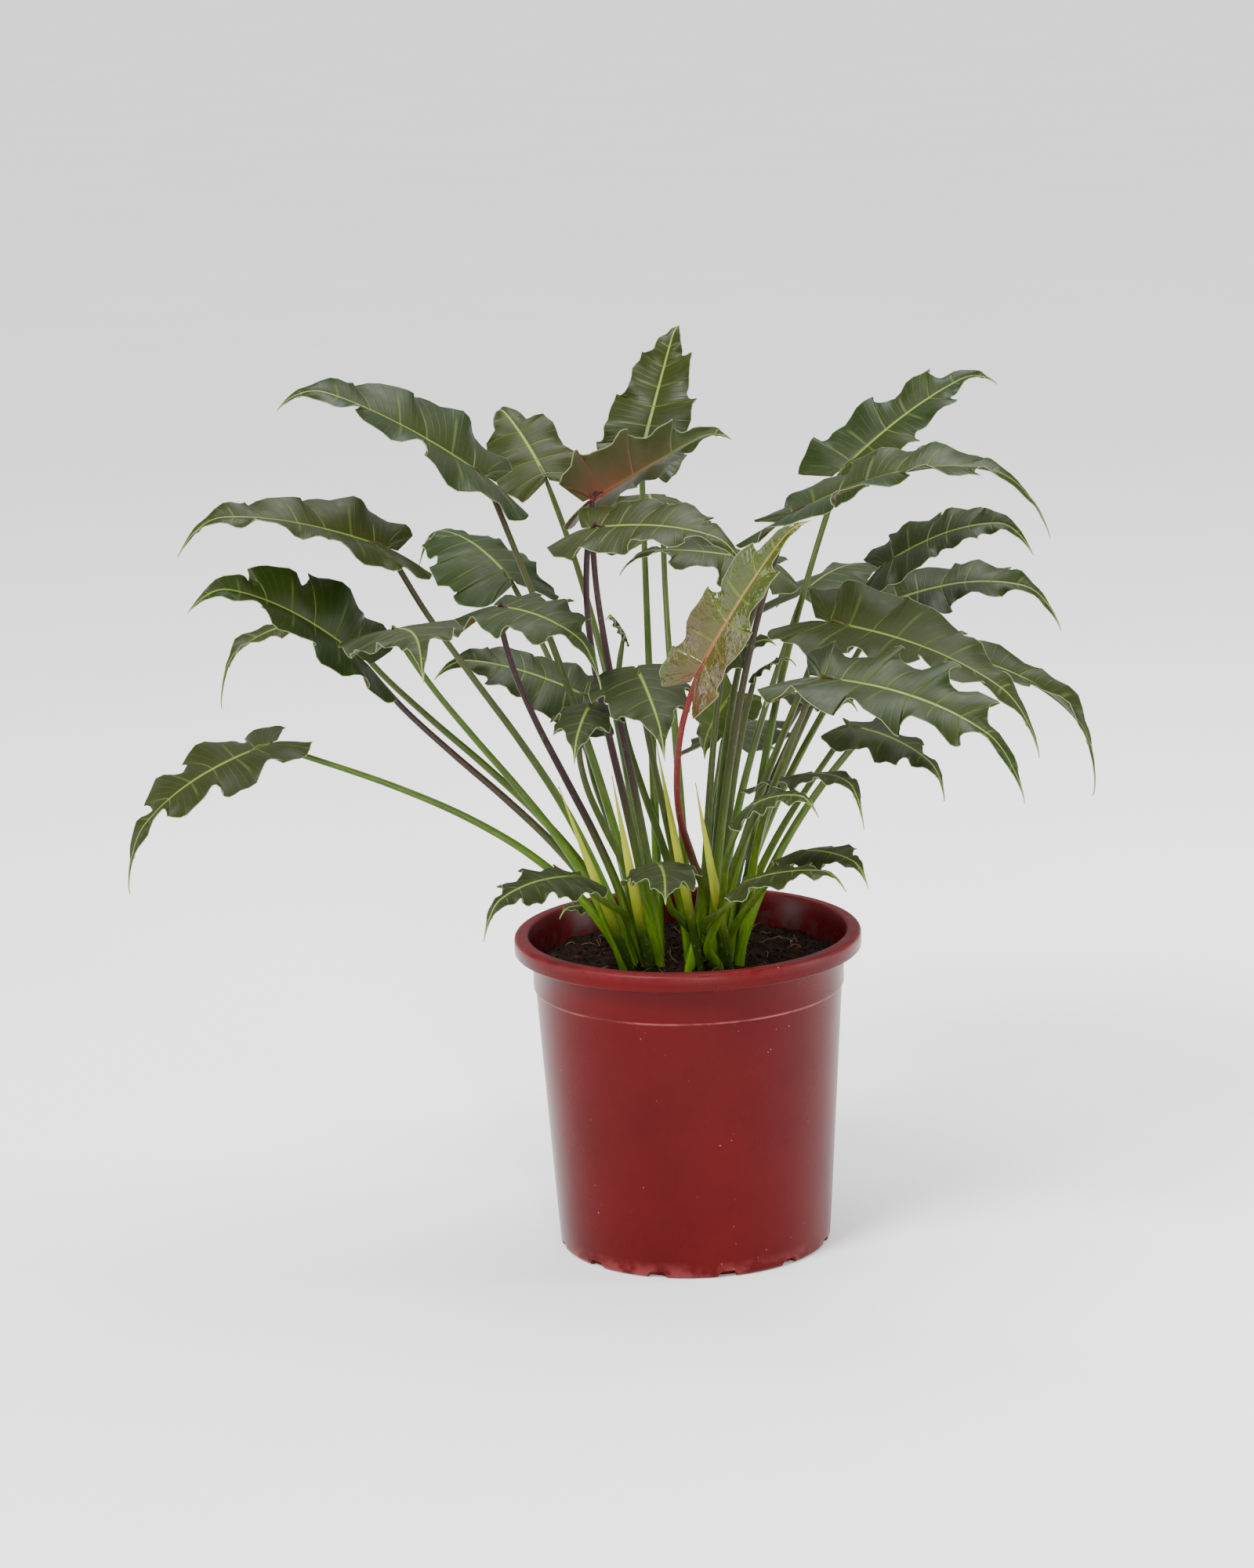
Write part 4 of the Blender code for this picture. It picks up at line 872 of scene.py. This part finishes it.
def dress_pot(finish):
    """The pot's wall in section, from the middle of the base out, up and in again, then its openings."""
    inner_floor = CHANNEL_HEIGHT + FLOOR_THICKNESS
    profile = [(0, 0), (CHANNEL_INNER, 0), (CHANNEL_INNER + CHANNEL_SLOPE, CHANNEL_HEIGHT),
               (CHANNEL_OUTER - CHANNEL_SLOPE, CHANNEL_HEIGHT), (CHANNEL_OUTER, 0),
               (FOOT_RADIUS - FOOT_BEVEL, 0)]
    profile += rounded(FOOT_RADIUS - FOOT_BEVEL, FOOT_BEVEL, FOOT_BEVEL, -75, 0, 5)
    profile += [(pot_outside(STEP_HEIGHT * k / 6), STEP_HEIGHT * k / 6) for k in range(1, 6)]
    wall, collar, step, band = pot_outside(STEP_HEIGHT), COLLAR_RADIUS, STEP_HEIGHT, BAND_FOOT
    profile += [(wall - 0.0001, step - 0.0010), (wall, step - 0.0004), (collar - 0.0006, step + 0.0002),
                (collar - 0.0001, step + 0.0008), (collar, step + 0.0016), (collar, band - BAND_EDGE),
                (collar + 0.0006, band - 0.0005), (RIM_RADIUS - 0.0018, band - 0.0003)]
    profile += rounded(RIM_RADIUS - BAND_EDGE, band + 0.0011, BAND_EDGE, -80, 0, 4)
    profile += rounded(RIM_RADIUS - RIM_ROLL, POT_HEIGHT - RIM_ROLL, RIM_ROLL, 5, 90, 8)
    profile += [(MOUTH_RADIUS + 0.0030, POT_HEIGHT)]
    profile += rounded(MOUTH_RADIUS + LIP_ROUND, POT_HEIGHT - LIP_ROUND, LIP_ROUND, 95, 178, 6)
    profile += [(INSIDE_RADIUS, band - 0.002), (wall - WALL, step)]
    profile += [(FOOT_RADIUS - WALL - 0.0005, inner_floor), (0, inner_floor)]
    pot = turned("fine_pot", profile, POT_SIDES, finish)
    cutters = [notch(NOTCH_PHASE + math.tau * i / NOTCH_COUNT - math.pi / 2) for i in range(NOTCH_COUNT)]
    cutters += [drain(math.tau * (i + 0.25) / DRAIN_COUNT) for i in range(DRAIN_COUNT)]
    cut(pot, cutters)
    pot.data.shade_smooth()
    pot.data.set_sharp_from_angle(angle=SHARP_FROM)
    own(pot, "pot_plastic", "pot")


def notch(angle):
    """The cutter of a drain notch with a rounded top in the foot's edge."""
    inner, outer = CHANNEL_OUTER + 0.0035, FOOT_RADIUS + 0.004
    outline = [(-0.5, -0.002), (0.5, -0.002), (0.46, 0.0022), (0.40, 0.0044), (0.28, NOTCH_HEIGHT)]
    outline += [(-0.28, NOTCH_HEIGHT), (-0.40, 0.0044), (-0.46, 0.0022)]
    points = []
    for radius, top in ((inner, 0.0018), (outer, NOTCH_HEIGHT)):
        for across, height in outline:
            side = across * NOTCH_WIDTH
            points.append((radius * math.cos(angle) - side * math.sin(angle),
                           radius * math.sin(angle) + side * math.cos(angle), min(height, top)))
    count = len(outline)
    faces = [tuple(reversed(range(count))), tuple(range(count, 2 * count))]
    faces += [(i, (i + 1) % count, (i + 1) % count + count, i + count) for i in range(count)]
    return new_piece("cutter", points, faces, [], smooth=False)


def drain(angle):
    """The cutter of a round drain hole in the base's channel."""
    shape = bmesh.new()
    bmesh.ops.create_cone(shape, cap_ends=True, segments=DRAIN_SIDES,
                          radius1=DRAIN_RADIUS, radius2=DRAIN_RADIUS, depth=0.03)
    spot = (*polar((CHANNEL_INNER + CHANNEL_OUTER) / 2, angle), CHANNEL_HEIGHT)
    bmesh.ops.translate(shape, verts=shape.verts, vec=spot)
    piece = new_piece("cutter", [], [], [], smooth=False)
    shape.to_mesh(piece.data)
    shape.free()
    return piece


def outwards(thing):
    """Merges doubled points and turns every face outwards."""
    shape = bmesh.new()
    shape.from_mesh(thing.data)
    bmesh.ops.remove_doubles(shape, verts=shape.verts, dist=1e-6)
    bmesh.ops.recalc_face_normals(shape, faces=shape.faces)
    shape.to_mesh(thing.data)
    shape.free()


def cut(thing, cutters):
    """Takes all the cutters out of a closed form at once."""
    outwards(thing)
    helpers = bpy.data.collections.new("cutters")
    for cutter in cutters:
        outwards(cutter)
        helpers.objects.link(cutter)
    step = thing.modifiers.new("cut", "BOOLEAN")
    step.operation = "DIFFERENCE"
    step.solver = "EXACT"
    step.operand_type = "COLLECTION"
    step.collection = helpers
    bpy.context.view_layer.update()
    result = bpy.data.meshes.new_from_object(thing.evaluated_get(bpy.context.evaluated_depsgraph_get()))
    thing.modifiers.clear()
    thing.data = result
    for cutter in cutters:
        bpy.data.objects.remove(cutter, do_unlink=True)
    bpy.data.collections.remove(helpers)


def soil_height(x, y):
    """The soil's lumpy top, mounded a little round each crown."""
    spot = Vector((x, y, 0.0))
    lumps = noise.fractal(spot * LUMPS_A_METRE, 0.7, 2.1, 5) * SOIL_RELIEF
    grit = noise.noise(spot * GRIT_A_METRE) * GRIT_RELIEF
    mound = 0.0
    for crown in CROWNS:
        reach = math.hypot((x - crown.middle[0]) / MOUND_REACH[0], (y - crown.middle[1]) / MOUND_REACH[1])
        mound = max(mound, MOUND_HEIGHT * max(0.0, 1 - reach) ** 0.5)
    return SOIL_LEVEL - 0.001 + lumps + grit + mound


def dress_soil(finish, crumb_finish, bark_finish, fibre_finish):
    """The soil as a disc with a lumpy top, and the crumbs, chips and fibres that lie on it."""
    radius = INSIDE_RADIUS - 0.0009
    points = [(0, 0, soil_height(0, 0))]
    faces = []
    for ring in range(1, SOIL_RINGS + 1):
        reach = radius * ring / SOIL_RINGS
        for k in range(SOIL_SIDES):
            x, y = polar(reach, math.tau * k / SOIL_SIDES)
            points.append((x, y, soil_height(x, y)))
    for k in range(SOIL_SIDES):
        points.append((*polar(radius, math.tau * k / SOIL_SIDES), SOIL_LEVEL - SOIL_DEPTH))
    points.append((0, 0, SOIL_LEVEL - SOIL_DEPTH))
    for k in range(SOIL_SIDES):
        j = (k + 1) % SOIL_SIDES
        faces.append((0, 1 + k, 1 + j))
        for ring in range(SOIL_RINGS):
            a = 1 + ring * SOIL_SIDES
            faces.append((a + k, a + SOIL_SIDES + k, a + SOIL_SIDES + j, a + j))
        last = 1 + SOIL_RINGS * SOIL_SIDES
        faces.append((len(points) - 1, last + j, last + k))
    soil = new_piece("fine_soil", points, faces, [finish])
    own(soil, "potting_mix", "soil", "crown_left", "crown_right")
    draw = random.Random(SOIL_SEED)
    scatter("soil_crumbs", draw, CRUMBS, (0.0008, 0.0021), (1.0, 0.8, 0.7), radius - 0.002, crumb_finish)
    scatter("soil_bark", draw, CHIPS, (0.0022, 0.0060), (1.0, 0.55, 0.30), radius - 0.007, bark_finish)
    fibres(draw, radius - 0.010, fibre_finish)


def spot_on(draw, reach):
    """A random point of a disc, evenly spread."""
    angle, share = draw.uniform(0, math.tau), math.sqrt(draw.uniform(0, 1))
    return polar(reach * share, angle)


def scatter(name, draw, count, sizes, shape, reach, finish):
    """Irregular crumbs half sunk in the soil's top, in one piece."""
    ball = bmesh.new()
    bmesh.ops.create_icosphere(ball, subdivisions=1, radius=1.0)
    base = np.array([vertex.co[:] for vertex in ball.verts])
    ball_faces = [tuple(vertex.index for vertex in face.verts) for face in ball.faces]
    ball.free()
    points = []
    faces = []
    for _ in range(count):
        x, y = spot_on(draw, reach)
        size = draw.uniform(*sizes) * draw.uniform(0.6, 1.0)
        rough = np.array([draw.uniform(0.65, 1.25) for _ in base])[:, None]
        turn = np.array(Matrix.Rotation(draw.uniform(0, 6.28), 3, "Z")
                        @ Matrix.Rotation(draw.uniform(-0.7, 0.7), 3, "X"))
        lump = (base * rough * np.array(shape) * size) @ turn.T
        lump += np.array((x, y, soil_height(x, y) + size * shape[2] * 0.35))
        faces += shifted(ball_faces, len(points))
        points.extend(lump)
    own(new_piece(name, points, faces, [finish], smooth=False), "potting_mix")


def fibres(draw, reach, finish):
    """Short bent root fibres on the soil's top, in one piece."""
    points = []
    faces = []
    for _ in range(FIBRES):
        x, y = spot_on(draw, reach)
        heading = draw.uniform(0, math.tau)
        length = draw.uniform(0.006, 0.022)
        bend = draw.uniform(-1.2, 1.2)
        path = []
        for k in range(9):
            t = k / 8
            path.append(np.array((x, y, soil_height(x, y) + 0.0005 + 0.0016 * math.sin(math.pi * t))))
            x += math.cos(heading + bend * t) * length / 8
            y += math.sin(heading + bend * t) * length / 8
            if math.hypot(x, y) > reach + 0.006:
                break
        if len(path) < 4:
            continue
        ring, sides = tube(path, [0.00028] * len(path), 5)
        faces += shifted(sides, len(points))
        points.extend(ring)
    own(new_piece("soil_fibres", points, faces, [finish]), "potting_mix")


def crown_slots(crown):
    """Where a crown's stems stand, row by row."""
    slots = []
    for row in range(crown.rows):
        shift = ROW_STAGGER if row % 2 else -ROW_STAGGER
        for column in range(crown.columns):
            x = crown.middle[0] + (column - (crown.columns - 1) / 2 + shift) * STEM_PITCH
            y = crown.middle[1] + (row - (crown.rows - 1) / 2) * STEM_PITCH
            slots.append((x, y))
    return slots


def dress_sheath(sheath, finish):
    """A pointed, folded sheath leaf, curled in at its edges and ribbed."""
    slot = crown_slots(CROWNS[sheath.crown])[sheath.slot]
    foot = np.array((*slot, SHEATH_FOOT_Z))
    top = np.array(sheath.top, float) * MM
    along = unit(top - foot)
    across = unit(np.cross(along, (0.0, -1.0, 0.0)))
    back = np.cross(across, along)
    points = []
    triangles = []
    climb = []
    turn = []
    for i in range(SHEATH_STEPS + 1):
        share = i / SHEATH_STEPS
        wide = sheath.width * MM * (1 - share ** 2.2) * (0.36 + 0.46 * math.sin(math.pi * share))
        middle = foot + (top - foot) * share + back * SHEATH_BOW * math.sin(math.pi * share)
        for k in range(SHEATH_ACROSS + 1):
            t = 2 * k / SHEATH_ACROSS - 1
            ripple = SHEATH_RIPPLE * math.sin(9 * t) * (1 - share)
            points.append(middle + across * wide * t - back * (wide * 0.5 * abs(t) ** 1.5 + ripple))
            climb.append(share)
            turn.append(t)
    row = SHEATH_ACROSS + 1
    for i in range(SHEATH_STEPS):
        for k in range(SHEATH_ACROSS):
            a, b = i * row + k, i * row + k + 1
            c, d = b + row, a + row
            triangles += [(a, b, c), (a, c, d)] if i < SHEATH_STEPS - 1 else [(a, b, c)]
    half = SHEATH_THICKNESS / 2
    skin, upper, lower, band = shell(np.array(points), triangles, half, np.full(len(points), half))
    piece = new_piece("fine_" + sheath.name, skin, upper + lower + band, [finish])
    put(piece, "climb", climb * 2)
    put(piece, "round", turn * 2)
    put(piece, "warm", [float(sheath.crown + sheath.slot)] * (2 * len(points)))
    own(piece, "sheath_straw", sheath.name)


def set_camera():
    """The photograph's camera, from its distance, height, yaw, pitch and roll."""
    data = bpy.data.cameras.new("camera")
    data.sensor_width = SENSOR_MM
    data.sensor_fit = "AUTO"
    data.lens = FOCAL_PX / PHOTO_HEIGHT_PX * SENSOR_MM
    camera = link(bpy.data.objects.new("camera", data))
    flat = math.cos(CAMERA_PITCH)
    forward = Vector((math.sin(CAMERA_YAW) * flat, math.cos(CAMERA_YAW) * flat, -math.sin(CAMERA_PITCH)))
    right = Vector((math.cos(CAMERA_YAW), -math.sin(CAMERA_YAW), 0.0))
    up = right.cross(forward)
    level = right * math.cos(CAMERA_ROLL) - up * math.sin(CAMERA_ROLL)
    upright = right * math.sin(CAMERA_ROLL) + up * math.cos(CAMERA_ROLL)
    turn = Matrix((level, upright, -forward)).transposed().to_4x4()
    camera.matrix_world = Matrix.Translation((0.0, -CAMERA_DISTANCE, CAMERA_HEIGHT)) @ turn
    bpy.context.scene.camera = camera


def set_sun():
    data = bpy.data.lights.new("sun", "SUN")
    data.energy = SUN_STRENGTH
    data.angle = SUN_ANGLE
    sun = link(bpy.data.objects.new("sun", data))
    sun.rotation_euler = Vector(SUN_FROM).to_track_quat("Z", "Y").to_euler()


def set_panel(name, spot, aim, size, power):
    data = bpy.data.lights.new(name, "AREA")
    data.shape = "RECTANGLE"
    data.size, data.size_y = size
    data.energy = power
    light = link(bpy.data.objects.new(name, data))
    light.location = spot
    light.rotation_euler = (Vector(aim) - Vector(spot)).to_track_quat("-Z", "Y").to_euler()


def set_stage():
    """A plain pale floor, the white world, the sun and the panels."""
    s = Shade("backdrop")
    s.colour = s.mix(s.span(s.noise(3.0, 2.0), 0.3, 0.7), *BACKDROPS)
    s.finish(0.9, 0.1)
    half = FLOOR_HALF
    corners = [(x, y, FLOOR_Z) for x, y in ((-half, -half), (half, -half), (half, half), (-half, half))]
    floor = new_piece("floor", corners, [(0, 1, 2, 3)], [s.material], smooth=False)
    world = bpy.data.worlds.new("studio")
    world.use_nodes = True
    background = world.node_tree.nodes["Background"]
    background.inputs[0].default_value = (1.0, 1.0, 1.0, 1.0)
    background.inputs[1].default_value = WORLD_STRENGTH
    bpy.context.scene.world = world
    set_sun()
    for panel in PANELS:
        set_panel(*panel)


def main():
    set_camera()
    set_stage()
    stalk = stalk_finish()
    finishes = {kind: [leaf_top(kind), leaf_under(kind), stalk] for kind in ("leaf", "young", "lit")}
    kinds = {"young": "young", "back_lit": "lit"}
    for number, leaf in enumerate(LEAVES):
        dress_leaf(number, leaf, finishes[kinds.get(leaf.name, "leaf")])
    sheath = sheath_finish()
    for row in SHEATHS:
        dress_sheath(row, sheath)
    dress_pot(pot_finish())
    dress_soil(*[earth_finish(*earth) for earth in EARTHS])


main()
